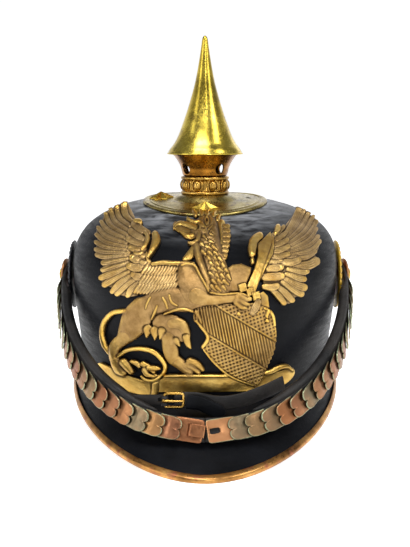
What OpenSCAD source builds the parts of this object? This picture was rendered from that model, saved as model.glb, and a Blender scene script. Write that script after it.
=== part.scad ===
// Spiked leather helmet with a griffin plate, chinscales, cockades and a screwed spike.
// Millimetres, +Z up. The origin is on the table under the spike. The front looks along -Y.

/* [Skull] */
// Half width of the skull at its widest, across the ears
skull_half_w = 91.7; // [86:0.1:98]
// Half length of the skull at its widest, front to back
skull_half_l = 106; // [100:0.5:112]
// Height of the crown over the table
skull_top = 143.3; // [136:0.1:152]
// Height of the skull's lower edge over the table
skull_base = 26; // [22:0.5:30]
// Height at which the sides are widest
side_belly = 98; // [90:0.5:104]
// Height at which front and back are widest
front_belly = 86; // [78:0.5:94]
// Draw-in of the lower edge at the sides
side_tuck = 8; // [6:0.5:15]
// Draw-in of the lower edge at front and back
front_tuck = 5; // [3:0.5:8]
// Thickness of the skull leather
skull_wall = 3; // [2.4:0.1:3.6]

/* [Visor and neck guard] */
// Reach of both rims in front of and behind the spike
rim_reach = 149; // [142:0.5:156]
// Half width over both rims at the sides
rim_half_w = 91; // [87:0.5:95]
// Height of the rims at the sides
rim_side_h = 23; // [19:0.5:25]
// Thickness of the visor and guard leather
visor_wall = 2.4; // [1.8:0.1:3]
// Width of the brass trim on the visor
trim_w = 1.8; // [1.4:0.1:5]
// Thickness of the trim metal
trim_metal = 0.7; // [0.5:0.05:1]
// Depth by which the rims are worn flat where they stand
foot_flat = 0.5; // [0.2:0.1:0.8]

/* [Crown] */
// Radius of the base plate
base_r = 43.2; // [38:0.1:47]
// Thickness of the base plate metal
base_metal = 1.1; // [0.8:0.1:1.5]
// Radius of the dished foot on which the pearl ring stands
foot_r = 15.6; // [14:0.1:18]
// Rise of the dished foot over the crown leather
foot_rise = 3.3; // [2.5:0.1:5]
// Height of the pearl ring
ring_h = 12.6; // [9:0.1:14]
// Width of one pearl
pearl_w = 5.4; // [4:0.1:6.4]
// Number of pearls
pearls = 9; // [7:1:10]
// Height of the neck over the base plate
neck_h = 27.1; // [22:0.1:32]
// Radius of the neck's flared top
neck_top_r = 22.1; // [20:0.1:24]
// Thickness of the neck metal
neck_metal = 1.2; // [0.8:0.1:1.6]
// Diameter of one vent hole
vent_d = 7.2; // [5:0.1:8]
// Height of the vent holes over the foot
vent_rise = 17.6; // [16:0.1:19]
// Width over the points of one star
star_w = 17; // [12:0.5:20]
// Height of one star
star_h = 5.5; // [4:0.1:8]

/* [Spike] */
// Height of the spike over its lip
spike_h = 79.5; // [65:0.5:95]
// Radius of the spike's lip
spike_r = 26.3; // [24:0.1:28]
// Thickness of the spike metal
spike_metal = 1; // [0.8:0.1:1.4]
// Diameter of the spike's screw
spike_screw_d = 8; // [6:0.5:10]
// Length of the spike's screw
spike_screw_l = 24; // [16:0.5:25]

/* [Helmet plate] */
// Width over the wing tips
plate_w = 143; // [132:0.5:148]
// Height from the scroll to the crest
plate_h = 101; // [92:0.5:103]
// Height of the scroll's lower edge over the table
plate_foot_z = 34; // [33:0.5:37]
// Height of the relief
relief = 3.2; // [2.2:0.1:4]
// Thickness of the stamped metal at its edges
plate_edge = 1; // [0.8:0.1:1.4]

/* [Chinscales] */
// Height of the side bolts over the table
bolt_z = 90; // [88:0.5:94]
// How far the straps pass in front of the skull
strap_ahead = 20.5; // [18:0.5:23]
// Height of the straps' middle over the visor at the front
strap_above = 7.4; // [7.2:0.01:11]
// Half width over the straps
strap_half_w = 98; // [97.7:0.1:101]
// Width of the strap leather
strap_w = 14; // [13:0.5:14.5]
// Thickness of the strap leather
strap_wall = 2.6; // [2:0.1:3]
// Width of one scale
scale_w = 13.3; // [12:0.1:14]
// Thickness of one scale
scale_metal = 0.6; // [0.5:0.05:0.8]
// Number of scales on each side
scales = 17; // [15:1:18]
// Diameter of one rosette
rosette_d = 22; // [20:0.5:24]
// Diameter of one side bolt
bolt_d = 4.4; // [3.6:0.1:5]

/* [Cockades] */
// Diameter of one cockade
cockade_d = 48; // [42:0.5:52]
// Number of flutes round a cockade
flutes = 32; // [24:2:40]

/* [Buckle] */
// How far the buckle stands behind the front of the straps
buckle_behind = 12.8; // [12.4:0.1:14]
// Width of the buckle frame
buckle_w = 12.5; // [11:0.5:14]
// Height of the buckle frame
buckle_h = 10; // [8.5:0.1:10.5]
// Diameter of the buckle wire
buckle_wire = 1.7; // [1.4:0.1:2]
// Width of the buckled leather
tongue_w = 8.6; // [7:0.1:9]
// Thickness of the buckled leather
tongue_wall = 1.5; // [1.2:0.1:1.8]

/* [Lining] */
// Height of the sweatband
band_h = 46; // [36:1:52]
// Thickness of the sweatband leather
band_wall = 1.4; // [1:0.1:1.8]
// Thickness of the silk
silk_wall = 1; // [0.8:0.1:1.4]
// Number of folds in the silk
folds = 12; // [8:1:14]

/* [Small fasteners] */
// Diameter of the small studs and screws
stud_d = 3; // [2.4:0.1:3.4]
// Width across the flats of their square nuts
nut_w = 7; // [6:0.5:8]
// Thickness of their nuts
nut_h = 2.2; // [1.8:0.1:2.6]

/* [Hidden] */
$fn = 48;

// Colours
lacquer = "#1b1c20";
brass = "#b5923f";
frosted_brass = "#a98447";
bronze = "#9a6a3c";
copper = "#a9694a";
steel = "#8b8b88";
tan = "#8a5f3c";
silk = "#5d5a4e";

// Clearances and overruns
fit = 0.3;
bolt_fit = 0.25;
sheet_fit = 0.15;

// Roundness of the skull's section over the ears and along the middle
side_round = 2.7;
front_round = 2;
// Forward slope of the crown
crown_lean = 0.105;
// Share of the rows that lie under the belly
belly_share = 0.42;
// Steps for slopes and normals
turn_step = 1;
row_step_share = 0.01;
skull_turns = 48;
skull_rows = 11;
front_az = -90;
rear_az = 90;

function unit(v) = v / norm(v);
function mix(a, b, t) = a + (b - a) * t;
function soft(t) = let (c = min(1, max(0, t))) c * c * (3 - 2 * c);
function sideways(az) = pow(cos(az), 2);
function belly(az) = mix(front_belly, side_belly, sideways(az));
function roundness(az) = mix(front_round, side_round, sideways(az));
function girth(az) = 1 / sqrt(sideways(az) / pow(skull_half_w, 2) + (1 - sideways(az)) / pow(skull_half_l, 2));
// Share of the way from the belly to the crown
function climb(az, z) = min(1, max(0, (z - belly(az)) / (skull_top - belly(az))));
// Radius of the skull at a height that is measured before the crown leans
function skull_r(az, z) = z >= belly(az)
    ? girth(az) * pow(1 - pow(climb(az, z), roundness(az)), 1 / roundness(az))
    : girth(az) - mix(front_tuck, side_tuck, sideways(az)) * soft((belly(az) - z) / (belly(az) - skull_base));
// Point of the skull for an azimuth and a height
function skull_at(az, z) = let (r = skull_r(az, z))
    [r * cos(az), r * sin(az), z + crown_lean * r * sin(az) * climb(az, z)];
// Height of a row, from the lower edge (0) to the crown (1)
function row_z(az, t) = t < belly_share
    ? mix(skull_base, belly(az), t / belly_share)
    : mix(belly(az), skull_top, pow(sin(90 * (t - belly_share) / (1 - belly_share)), 2 / roundness(az)));
function row_at(az, t) = skull_at(az, row_z(az, t));
function row_normal(az, t) = unit(cross(row_at(az + turn_step, t) - row_at(az - turn_step, t),
    row_at(az, t + row_step_share) - row_at(az, t - row_step_share)));
// Point at a distance outside (or, below zero, inside) the skull's surface
function skull_off(az, t, off) = row_at(az, t) + off * row_normal(az, t);
// Height of the dome over a point of the plan
function dome_z(az, r) = let (n = roundness(az), s = pow(1 - pow(r / girth(az), n), 1 / n))
    mix(belly(az), skull_top, s) + crown_lean * r * sin(az) * s;
// The row whose radius is r, on the dome
function dome_row(az, r) = belly_share + (1 - belly_share) * acos(pow(r / girth(az), roundness(az) / 2)) / 90;

// Solid between two grids of points, rows by columns, closed all round or open
module shell(outer, inner, closed) {
    rows = len(outer);
    cols = len(outer[0]);
    last = closed ? cols - 1 : cols - 2;
    half = rows * cols;
    points = [for (g = [outer, inner]) for (row = g) for (p = row) p];
    function at(g, i, j) = g * half + i * cols + j % cols;
    function quad(a, b, c, d) = [[a, b, c], [a, c, d]];
    skins = [for (i = [0:rows - 2]) for (j = [0:last])
        each concat(quad(at(0, i, j), at(0, i + 1, j), at(0, i + 1, j + 1), at(0, i, j + 1)),
            quad(at(1, i, j), at(1, i, j + 1), at(1, i + 1, j + 1), at(1, i + 1, j)))];
    edges = [for (j = [0:last])
        each concat(quad(at(0, 0, j), at(0, 0, j + 1), at(1, 0, j + 1), at(1, 0, j)),
            quad(at(0, rows - 1, j), at(1, rows - 1, j), at(1, rows - 1, j + 1), at(0, rows - 1, j + 1)))];
    ends = closed ? [] : [for (i = [0:rows - 2])
        each concat(quad(at(0, i, 0), at(1, i, 0), at(1, i + 1, 0), at(0, i + 1, 0)),
            quad(at(0, i, cols - 1), at(0, i + 1, cols - 1), at(1, i + 1, cols - 1), at(1, i, cols - 1)))];
    polyhedron(points, concat(skins, edges, ends));
}

// Solid through rings of points, with flat ends
module sweep(rings) {
    n = len(rings[0]);
    m = len(rings);
    sides = [for (i = [0:m - 2]) for (j = [0:n - 1])
        let (a = i * n + j, b = i * n + (j + 1) % n)
        each [[a, b, b + n], [a, b + n, a + n]]];
    ends = [[for (j = [n - 1:-1:0]) j], [for (j = [0:n - 1]) (m - 1) * n + j]];
    polyhedron([for (r = rings) for (p = r) p], concat(sides, ends));
}

// Children with +Z along a direction, at a point
module seat(p, d) {
    translate(p) rotate([0, acos(d.z / norm(d)), atan2(d.y, d.x)]) children();
}
module on_skull(az, t) {
    seat(row_at(az, t), row_normal(az, t)) children();
}
module right_and_left() {
    children();
    mirror([1, 0, 0]) children();
}

// Places of the fasteners, as azimuth and row
stud_row_share = 0.66;
plate_stud_spots = [[front_az - 22, stud_row_share], [front_az + 22, stud_row_share]];
spine_spots = [[rear_az, 0.2], [rear_az, stud_row_share]];
star_circle_r = base_r * 0.7;
star_spots = [for (az = [front_az, rear_az, 180]) [az, dome_row(az, star_circle_r)]];
bare_spot = [0, dome_row(0, star_circle_r)];
crown_vent_d = foot_r;

// Depth at which the flat nuts clear the curved inside of the skull
nut_seat = skull_wall + fit + nut_w / 12;
stud_reach = nut_seat + nut_h;

module stud_holes(spots) {
    for (s = spots) on_skull(s[0], s[1])
        cylinder(h = 4 * skull_wall, d = stud_d + 2 * bolt_fit, center = true);
}

module skull() {
    turns = [for (i = [0:skull_turns - 1]) 360 * i / skull_turns];
    top_share = 0.985;
    rows = [for (i = [0:skull_rows]) top_share * i / skull_rows];
    color(lacquer) difference() {
        shell([for (t = rows) [for (az = turns) row_at(az, t)]],
            [for (t = rows) [for (az = turns) skull_off(az, t, -skull_wall)]], true);
        stud_holes(concat(plate_stud_spots, spine_spots, star_spots, [bare_spot]));
        translate([0, 0, skull_top]) cylinder(h = 8 * skull_wall, d = crown_vent_d, center = true);
        translate([0, 0, bolt_z]) rotate([0, 90, 0])
            cylinder(h = 3 * skull_half_w, d = bolt_d + 2 * bolt_fit, center = true);
    }
}

// Rims: the plan outline in polar form and its height
rim_front_round = 1.78;
rim_rear_round = 2.05;
rim_drop_share = 0.8;
rim_turns = 36;
rim_gap_turn = 0.4;
trim_half = visor_wall / 2 + sheet_fit + trim_metal;
// How far the trim's fold stands off the leather's square edge, which leans with the visor
trim_nose = sheet_fit + visor_wall / 4;
function rim_r(az, n) = 1 / pow(pow(abs(cos(az)) / rim_half_w, n) + pow(abs(sin(az)) / rim_reach, n), 1 / n);
// The lowest point of each rim stands on the table: the visor on its trim, the guard on its leather
function rim_low_z(az) = (sin(az) < 0 ? trim_half : visor_wall / 2) - foot_flat;
function rim_z(az, n) = mix(rim_side_h, rim_low_z(az), pow(rim_r(az, n) * abs(sin(az)) / rim_reach, rim_drop_share));
function polar(az, r, z) = [r * cos(az), r * sin(az), z];
// Middle of the visor's leather, from the skull (0) to the rim (1); bow lifts it between them
function visor_mid(az, t, n, bow) =
    let (r0 = skull_r(az, skull_base) + fit, z0 = skull_base + visor_wall / 2)
    polar(az, mix(r0, rim_r(az, n), t), mix(z0, rim_z(az, n), t) + bow * sin(180 * t) * abs(sin(az)));
visor_rows_share = [0, 0.3, 0.6, 0.85, 0.98, 1];
front_bow = 0.3;
rear_bow = -4;

module brim(from_az, n, bow) {
    turns = [for (i = [0:rim_turns]) from_az + rim_gap_turn + (180 - 2 * rim_gap_turn) * i / rim_turns];
    function skin(t, up) = [for (az = turns) let (p = visor_mid(az, t, n, bow))
        [p.x, p.y, max(0, p.z + up)]];
    rows = [for (i = [len(visor_rows_share) - 1:-1:0]) visor_rows_share[i]];
    shell([for (t = rows) skin(t, visor_wall / 2)],
        [for (t = rows) skin(t, -visor_wall / 2)], false);
}
module front_visor() {
    color(lacquer) brim(180, rim_front_round, front_bow);
}
module neck_guard() {
    color(lacquer) brim(0, rim_rear_round, rear_bow);
}

// The trim is a folded channel over the visor's edge
module visor_trim() {
    turns = [for (i = [0:rim_turns]) 180 + rim_gap_turn + (180 - 2 * rim_gap_turn) * i / rim_turns];
    inside = visor_wall / 2 + sheet_fit;
    outside = inside + trim_metal;
    nose = trim_nose;
    section = concat([[-trim_w, inside], [nose, inside], [nose, -inside], [-trim_w, -inside]],
        [[-trim_w, -outside]], [for (a = [-90:45:90]) [nose + outside * cos(a), outside * sin(a)]],
        [[-trim_w, outside]]);
    function ring(az) = let (p = visor_mid(az, 1, rim_front_round, front_bow),
        q = visor_mid(az, 1 - row_step_share, rim_front_round, front_bow), along = unit(p - q),
        up = unit(cross(cross(along, [0, 0, 1]), along)))
        [for (s = section) let (v = p + along * s.x + up * s.y) [v.x, v.y, max(0, v.z)]];
    color(bronze) sweep([for (az = turns) ring(az)]);
}

// The spine runs from the base plate down the back and hooks over the guard's rim
spine_w = 8;
spine_h = 2.6;
spine_hook_h = trim_half + trim_nose - fit;
spine_steps = 12;
module rear_spine() {
    half_round_share = [[-0.5, 0], [-0.42, 0.55], [-0.2, 0.95], [0.2, 0.95], [0.42, 0.55], [0.5, 0]];
    start_row = dome_row(rear_az, base_r + fit);
    end_row_share = 0.12;
    skull_path = [for (i = [0:spine_steps]) let (t = mix(start_row, end_row_share, i / spine_steps))
        [skull_off(rear_az, t, fit), row_normal(rear_az, t), spine_h]];
    function guard_top(t) = visor_mid(rear_az, t, rim_rear_round, rear_bow) + [0, 0, visor_wall / 2 + fit];
    guard_rows_share = [0.3, 0.55, 0.8, 0.96];
    guard_path = [for (t = guard_rows_share) let (d = guard_top(t) - guard_top(t - row_step_share))
        [guard_top(t), unit([0, -d.z, d.y]), spine_h]];
    rim_y = rim_reach + fit;
    hook_path = [[[0, rim_y, visor_wall], [0, 1, 0], spine_hook_h], [[0, rim_y, fit], [0, 1, 0], spine_hook_h]];
    path = concat(skull_path, guard_path, hook_path);
    color(brass) difference() {
        sweep([for (p = path) [for (s = half_round_share)
            p[0] + [s.x * spine_w, 0, 0] + p[1] * s.y * p[2]]]);
        stud_holes(spine_spots);
    }
}

module small_screw(reach) {
    head_h = stud_d / 2;
    difference() {
        rotate_extrude() polygon([[0, -reach], [stud_d / 2, -reach], [stud_d / 2, 0], [stud_d, 0],
            [stud_d * 0.87, head_h / 2], [stud_d / 2, head_h * 0.87], [0, head_h]]);
        translate([0, 0, head_h]) cube([2 * stud_d, stud_d / 5, head_h], center = true);
    }
}
module square_nut(d, w, h) {
    difference() {
        translate([-w / 2, -w / 2, -h]) cube([w, w, h]);
        cylinder(h = 3 * h, d = d + sheet_fit, center = true);
    }
}
module inner_nuts(spots) {
    for (s = spots) on_skull(s[0], s[1])
        translate([0, 0, -nut_seat]) square_nut(stud_d, nut_w, nut_h);
}
module spine_screws() {
    color(brass) for (s = spine_spots) on_skull(s[0], s[1])
        translate([0, 0, spine_h + fit]) small_screw(stud_reach + spine_h);
}
module spine_nuts() {
    color(steel) inner_nuts(spine_spots);
}

// Crown: base plate, stars, neck and pearl ring
foot_z = skull_top + foot_rise;
neck_top_z = foot_z + neck_h;
base_bead = 0.9;
module base_plate() {
    turns = [for (i = [0:skull_turns - 1]) 360 * i / skull_turns];
    radii = [foot_r - 1.5 * base_metal, foot_r, mix(foot_r, base_r, 0.12), mix(foot_r, base_r, 0.3),
        mix(foot_r, base_r, 0.6), base_r - 3.5 * base_metal, base_r - 1.8 * base_metal,
        base_r - 0.6 * base_metal, base_r];
    bead_share = [0, 0, 0, 0, 0, 0, 1, 1, 0];
    dish_end = mix(foot_r, base_r, 0.3);
    function top(az, i) = let (r = radii[i], z = dome_z(az, r) + fit + base_metal + base_bead * bead_share[i])
        mix(z, foot_z, soft((dish_end - r) / (dish_end - foot_r)));
    function under(az, i) = max(dome_z(az, radii[i]) + fit, top(az, i) - base_metal - base_bead * bead_share[i]);
    index = [for (i = [len(radii) - 1:-1:0]) i];
    color(brass) difference() {
        shell([for (i = index) [for (az = turns) polar(az, radii[i], top(az, i))]],
            [for (i = index) [for (az = turns) polar(az, radii[i], under(az, i))]], true);
        stud_holes(concat(star_spots, [bare_spot]));
    }
}
star_lift = fit + base_metal + base_bead;
module star_studs() {
    star_points = 6;
    waist_share = 0.5;
    outline = [for (i = [0:2 * star_points - 1]) let (r = star_w / 2 * (i % 2 == 0 ? 1 : waist_share))
        [r * cos(180 * i / star_points), r * sin(180 * i / star_points)]];
    color(brass) for (s = star_spots) on_skull(s[0], s[1]) {
        translate([0, 0, star_lift]) linear_extrude(star_h, scale = 0.04) polygon(outline);
        translate([0, 0, -stud_reach]) cylinder(h = stud_reach + star_lift, d = stud_d);
    }
}
module star_stud_nuts() {
    color(steel) inner_nuts(star_spots);
}

neck_tube_r = foot_r - 1.4;
neck_flare_start = foot_z + ring_h + fit;
neck_flare = neck_top_z - neck_flare_start;
neck_share = [[0.93, 0], [1, 0.05], [1.03, 0.2], [1.07, 0.38], [1.16, 0.6], [1.25, 0.76], [1.36, 0.93]];
function neck_inside(z) = lookup(z, [for (s = neck_share) [neck_flare_start + neck_flare * s.y, foot_r * s.x]])
    - neck_metal;
module spike_neck() {
    outer = concat([[neck_tube_r, foot_z], [neck_tube_r, neck_flare_start]],
        [for (s = neck_share) [foot_r * s.x, neck_flare_start + neck_flare * s.y]], [[neck_top_r, neck_top_z]]);
    inner = [for (i = [len(outer) - 1:-1:0]) outer[i] - [neck_metal, 0]];
    color(copper) difference() {
        rotate_extrude($fn = 96) polygon(concat(outer, inner));
        for (a = [0:90:270]) translate([0, 0, foot_z + vent_rise]) rotate([90, 0, a + 38])
            cylinder(h = 2 * neck_top_r, d = vent_d);
    }
}

// Oval pearl as a body turned about its upright axis
module pearl(w, h) {
    rotate_extrude($fn = 24) polygon(concat([for (a = [-90:22.5:90]) [w / 2 * cos(a), h / 2 * sin(a)]]));
}
module pearl_ring() {
    wall = foot_r - neck_tube_r - sheet_fit;
    mid_z = foot_z + ring_h / 2;
    bead = ring_h / 12;
    pearl_h = ring_h * 0.68;
    collar = pearl_w / 9;
    color(bronze) {
        union() {
            translate([0, 0, foot_z]) rotate_extrude($fn = 96) translate([neck_tube_r + sheet_fit, 0])
                polygon([[0, 0], [wall, 0], [wall + bead, bead], [wall, 2 * bead], [wall * 0.7, 3 * bead],
                    [wall * 0.7, ring_h - 3 * bead], [wall, ring_h - 2 * bead], [wall + bead, ring_h - bead],
                    [wall, ring_h], [0, ring_h]]);
            for (i = [0:pearls - 1]) rotate([0, 0, front_az + 16 + 360 * i / pearls])
                translate([foot_r - wall / 2, 0, mid_z]) intersection() {
                    union() {
                        pearl(pearl_w, pearl_h);
                        rotate([0, 90, 0]) scale([pearl_h / pearl_w, 1, 1])
                            cylinder(h = wall, d = pearl_w + 2 * collar);
                    }
                    translate([0, -ring_h, -ring_h]) cube(2 * ring_h);
                }
        }
    }
}

module spike_socket() {
    bore = spike_screw_d + 2 * bolt_fit;
    disc_h = 1.6 * neck_metal;
    hub_r = bore / 2 + 1.5 * neck_metal;
    disc_z = neck_top_z - 2.6 * neck_metal;
    hub_low = disc_z - spike_screw_l * 0.55;
    color(steel) rotate_extrude($fn = 64) polygon([[bore / 2, hub_low], [hub_r, hub_low], [hub_r, disc_z - disc_h],
        [neck_inside(disc_z - disc_h) - sheet_fit, disc_z - disc_h], [neck_inside(disc_z) - sheet_fit, disc_z],
        [bore / 2, disc_z]]);
}

// The spike: a hollow turned point on a flared lip, closed below by a floor
spike_base_z = neck_top_z + fit;
spike_share = [[1, 0], [1, 0.012], [0.92, 0.048], [0.806, 0.098], [0.7, 0.165], [0.601, 0.249], [0.445, 0.397],
    [0.27, 0.597], [0.167, 0.765], [0.075, 0.965], [0.045, 0.99], [0, 1]];
spike_floor_share = 0.03;
module spike() {
    hollow = [for (i = [2:8]) spike_share[i]];
    floor_z = spike_h * spike_floor_share;
    core = [for (s = hollow) [max(0, s.x * spike_r - 1.6 * spike_metal), max(floor_z + spike_metal, s.y * spike_h)]];
    color(brass) translate([0, 0, spike_base_z]) rotate_extrude($fn = 96) difference() {
        polygon(concat([[0, floor_z], [spike_r * 0.86, floor_z], [spike_r * 0.9, 0]],
            [for (s = spike_share) [s.x * spike_r, s.y * spike_h]]));
        polygon(concat([[0, floor_z + spike_metal]], [[core[0].x, floor_z + spike_metal]], core,
            [[0, spike_share[8].y * spike_h]]));
    }
}
module spike_screw() {
    flange_r = spike_screw_d;
    flange_h = spike_metal;
    top = spike_base_z + spike_h * spike_floor_share;
    color(steel) translate([0, 0, top]) rotate_extrude() polygon([[0, -spike_screw_l],
        [spike_screw_d / 2 - spike_metal, -spike_screw_l], [spike_screw_d / 2, spike_metal - spike_screw_l],
        [spike_screw_d / 2, -flange_h], [flange_r, -flange_h], [flange_r, 0], [0, 0]]);
}

// Helmet plate. It is drawn on a square grid whose unit is the span share of its width, from the
// middle (0) sideways and from the scroll's foot (0) upwards. The outlines of each level are then
// cut, from the front, out of curved sheets that follow the skull.
plate_span_share = 1.195;
plate_rise_share = 0.92;
grid_w = plate_w / plate_span_share;
grid_h = plate_h / plate_rise_share;
function art_at(p) = [p.x * grid_w * (1 + 0.12 * p.x * p.x + 0.2 * pow(p.y - 0.45, 2)),
    plate_foot_z + grid_h * p.y * (1.115 - 0.125 * p.y)];
// Smooth curve through a list of places or values
function pick(list, i) = list[min(len(list) - 1, max(0, i))];
function along(list, t) = let (s = t * (len(list) - 1), i = min(len(list) - 2, floor(s)), f = s - i,
    a = pick(list, i - 1), b = list[i], c = list[i + 1], d = pick(list, i + 2))
    b + f * (c - a) / 2 + f * f * (a - 2.5 * b + 2 * c - d / 2) + f * f * f * (1.5 * b - 1.5 * c + (d - a) / 2);

// Each level is drawn in from the one below it by these shares, at its sides and at its ends
draw_in_share = 0.0085;
end_in_share = 0.03;
// A form is a curve with a changing half width; it is drawn in every level up to its own
module form(line_share, width_share, steps, top, level) {
    nudge = row_step_share;
    thin_share = draw_in_share * (1 - level / 4);
    function side(s, k) = let (t = mix(level * end_in_share, 1 - level * end_in_share, s),
        c = along(line_share, t), w = max(thin_share, along(width_share, t) - level * draw_in_share),
        d = unit(along(line_share, min(1, t + nudge)) - along(line_share, max(0, t - nudge))))
        art_at(c + [-d.y, d.x] * w * k);
    if (level <= top) polygon(concat([for (i = [0:steps]) side(i / steps, 1)],
        [for (i = [steps:-1:0]) side(i / steps, -1)]));
}
// A cord of round links, for the tail
module cord(line_share, width_share, steps, top, level) {
    r = grid_w * (width_share - level * draw_in_share * 0.7);
    if (level <= top) for (i = [0:steps - 1]) hull() for (k = [0, 1])
        translate(art_at(along(line_share, (i + k) / steps))) circle(r, $fn = 6);
}

left_tips_share = [[-0.385, 0.955], [-0.45, 0.925], [-0.505, 0.875], [-0.54, 0.815], [-0.55, 0.75],
    [-0.545, 0.685], [-0.53, 0.625], [-0.505, 0.565], [-0.46, 0.51], [-0.39, 0.485]];
left_roots_share = [[-0.25, 0.84], [-0.245, 0.8], [-0.24, 0.76], [-0.23, 0.72], [-0.22, 0.685],
    [-0.205, 0.655], [-0.19, 0.625], [-0.175, 0.6], [-0.16, 0.575], [-0.14, 0.55]];
right_tips_share = [[0.46, 0.945], [0.52, 0.905], [0.555, 0.85], [0.575, 0.785], [0.57, 0.72],
    [0.555, 0.66], [0.53, 0.6], [0.49, 0.545], [0.435, 0.495], [0.365, 0.465]];
right_roots_share = [[0.31, 0.81], [0.3, 0.77], [0.29, 0.73], [0.28, 0.69], [0.265, 0.655],
    [0.25, 0.625], [0.235, 0.595], [0.22, 0.57], [0.2, 0.55], [0.175, 0.53]];
// Long feathers, two levels high, under shorter ones that stand a level higher
module wing(tips_share, roots_share, level) {
    bow_share = 0.02;
    function feather(i, reach) = [for (t = [0, 0.4, 0.75, 1])
        mix(roots_share[i], tips_share[i], t * reach) + [0, bow_share * sin(180 * t)]];
    n = len(tips_share);
    for (i = [0:n - 1]) form(feather(i, 1), [0.02, 0.032, 0.036, 0.014], 4, 1, level);
    if (level != 1) for (i = [0:n - 2]) form(feather(i, 0.5), [0.026, 0.036, 0.016], 3, 2, level);
}
module griffin(level) {
    // Neck and breast, then torso and haunch
    form([[0.02, 0.89], [0.03, 0.78], [0.01, 0.66], [-0.03, 0.56]], [0.05, 0.06, 0.1, 0.09], 5, 2, level);
    form([[0.04, 0.58], [-0.1, 0.53], [-0.24, 0.44], [-0.36, 0.37]], [0.07, 0.12, 0.1, 0.08], 6, 2, level);
    // Head, upper beak, lower beak, crest
    form([[0.05, 0.87], [-0.03, 0.85], [-0.1, 0.85], [-0.155, 0.8]], [0.04, 0.05, 0.03, 0.01], 6, 2, level);
    form([[0, 0.8], [-0.07, 0.79], [-0.13, 0.79]], [0.03, 0.018, 0.006], 3, 1, level);
    for (i = [0:4]) form([[-0.05 + 0.035 * i, 0.86], [-0.055 + 0.037 * i, 0.915]], [0.02, 0.006], 1, 0, level);
    // Mane down the back of the neck
    for (i = [0:5]) form([[0.06, 0.86 - 0.045 * i], [0.125 - 0.004 * i, 0.85 - 0.047 * i]], [0.028, 0.004], 1, 0, level);
    // Wing bones
    form([[-0.225, 0.87], [-0.27, 0.79], [-0.29, 0.71], [-0.23, 0.665], [-0.14, 0.67], [-0.06, 0.64]],
        [0.02, 0.03, 0.022, 0.02, 0.018, 0.03], 9, 2, level);
    form([[0.3, 0.8], [0.24, 0.76], [0.22, 0.68], [0.16, 0.64], [0.06, 0.62]],
        [0.02, 0.032, 0.024, 0.02, 0.04], 8, 2, level);
    // Fore leg with its claws, and the small fore paw under the beak
    form([[-0.08, 0.53], [0.02, 0.49], [0.12, 0.49], [0.2, 0.5]], [0.05, 0.04, 0.03, 0.03], 5, 2, level);
    for (i = [0:2]) form([[0.19, 0.52 - 0.022 * i], [0.245, 0.515 - 0.028 * i]], [0.013, 0.008], 1, 1, level);
    form([[-0.06, 0.66], [-0.1, 0.7], [-0.13, 0.74]], [0.03, 0.025, 0.01], 3, 1, level);
    // Hind legs with their paws
    form([[-0.36, 0.4], [-0.43, 0.28], [-0.45, 0.17], [-0.48, 0.12]], [0.07, 0.04, 0.025, 0.035], 5, 1, level);
    form([[-0.22, 0.37], [-0.12, 0.27], [-0.15, 0.17], [-0.05, 0.11]], [0.07, 0.055, 0.028, 0.035], 6, 1, level);
    // Tail in two loops, with its tuft
    cord([[-0.4, 0.44], [-0.48, 0.42], [-0.515, 0.34], [-0.49, 0.25], [-0.41, 0.21], [-0.32, 0.25],
        [-0.23, 0.22], [-0.2, 0.14], [-0.27, 0.08]], 0.017, 16, 1, level);
    form([[-0.36, 0.12], [-0.3, 0.15], [-0.25, 0.12]], [0.015, 0.035, 0.01], 3, 1, level);
}
module shield_and_sword(level) {
    form([[0.115, 0.475], [0.165, 0.36], [0.22, 0.25], [0.275, 0.125]], [0.165, 0.185, 0.145, 0.015], 7, 1, level);
    form([[-0.02, 0.33], [0.12, 0.28], [0.29, 0.18]], [0.022, 0.022, 0.022], 4, 2, level);
    form([[0.02, 0.44], [0.18, 0.38], [0.34, 0.28]], [0.022, 0.022, 0.022], 4, 2, level);
    form([[0.215, 0.53], [0.25, 0.62], [0.29, 0.73], [0.32, 0.8]], [0.022, 0.03, 0.032, 0.004], 4, 2, level);
    form([[0.16, 0.55], [0.26, 0.5]], [0.02, 0.02], 1, 2, level);
    form([[0.23, 0.52], [0.29, 0.46]], [0.016, 0.018], 1, 1, level);
}
module scroll(level) {
    form([[-0.525, 0.2], [-0.47, 0.12], [-0.3, 0.055], [-0.1, 0.05], [0.12, 0.05], [0.3, 0.07], [0.4, 0.1],
        [0.44, 0.145]], [0.02, 0.045, 0.048, 0.046, 0.046, 0.046, 0.04, 0.03], 14, 1, level);
}
// Curved sheet in front of the skull, between two distances from it
sheet_turns = 11;
sheet_rows = 11;
sheet_half_turn = 62;
// How far a flat facet of the sheet dips under the curve that it stands for
facet_dip = skull_half_l * (1 - cos(sheet_half_turn / sheet_turns));
module sheet(near, far) {
    turns = [for (i = [0:sheet_turns]) front_az + sheet_half_turn * (2 * i / sheet_turns - 1)];
    top = dome_row(front_az, base_r + 2 * fit);
    rows = [for (i = [0:sheet_rows]) mix(row_step_share, top, i / sheet_rows)];
    shell([for (t = rows) [for (az = turns) skull_off(az, t, far)]],
        [for (t = rows) [for (az = turns) skull_off(az, t, near)]], false);
}
module helmet_plate() {
    back = fit + facet_dip;
    rise = relief / 2;
    color(frosted_brass) for (level = [0:2]) intersection() {
        rotate([90, 0, 0]) linear_extrude(2 * skull_half_l) {
            wing(left_tips_share, left_roots_share, level);
            wing(right_tips_share, right_roots_share, level);
            griffin(level);
            shield_and_sword(level);
            scroll(level);
        }
        sheet(back + level * plate_edge / 3, back + plate_edge + level * rise);
    }
}
module plate_studs() {
    color(brass) for (s = plate_stud_spots) on_skull(s[0], s[1])
        translate([0, 0, -stud_reach]) cylinder(h = stud_reach + sheet_fit, d = stud_d);
}
module plate_nuts() {
    color(steel) inner_nuts(plate_stud_spots);
}

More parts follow.
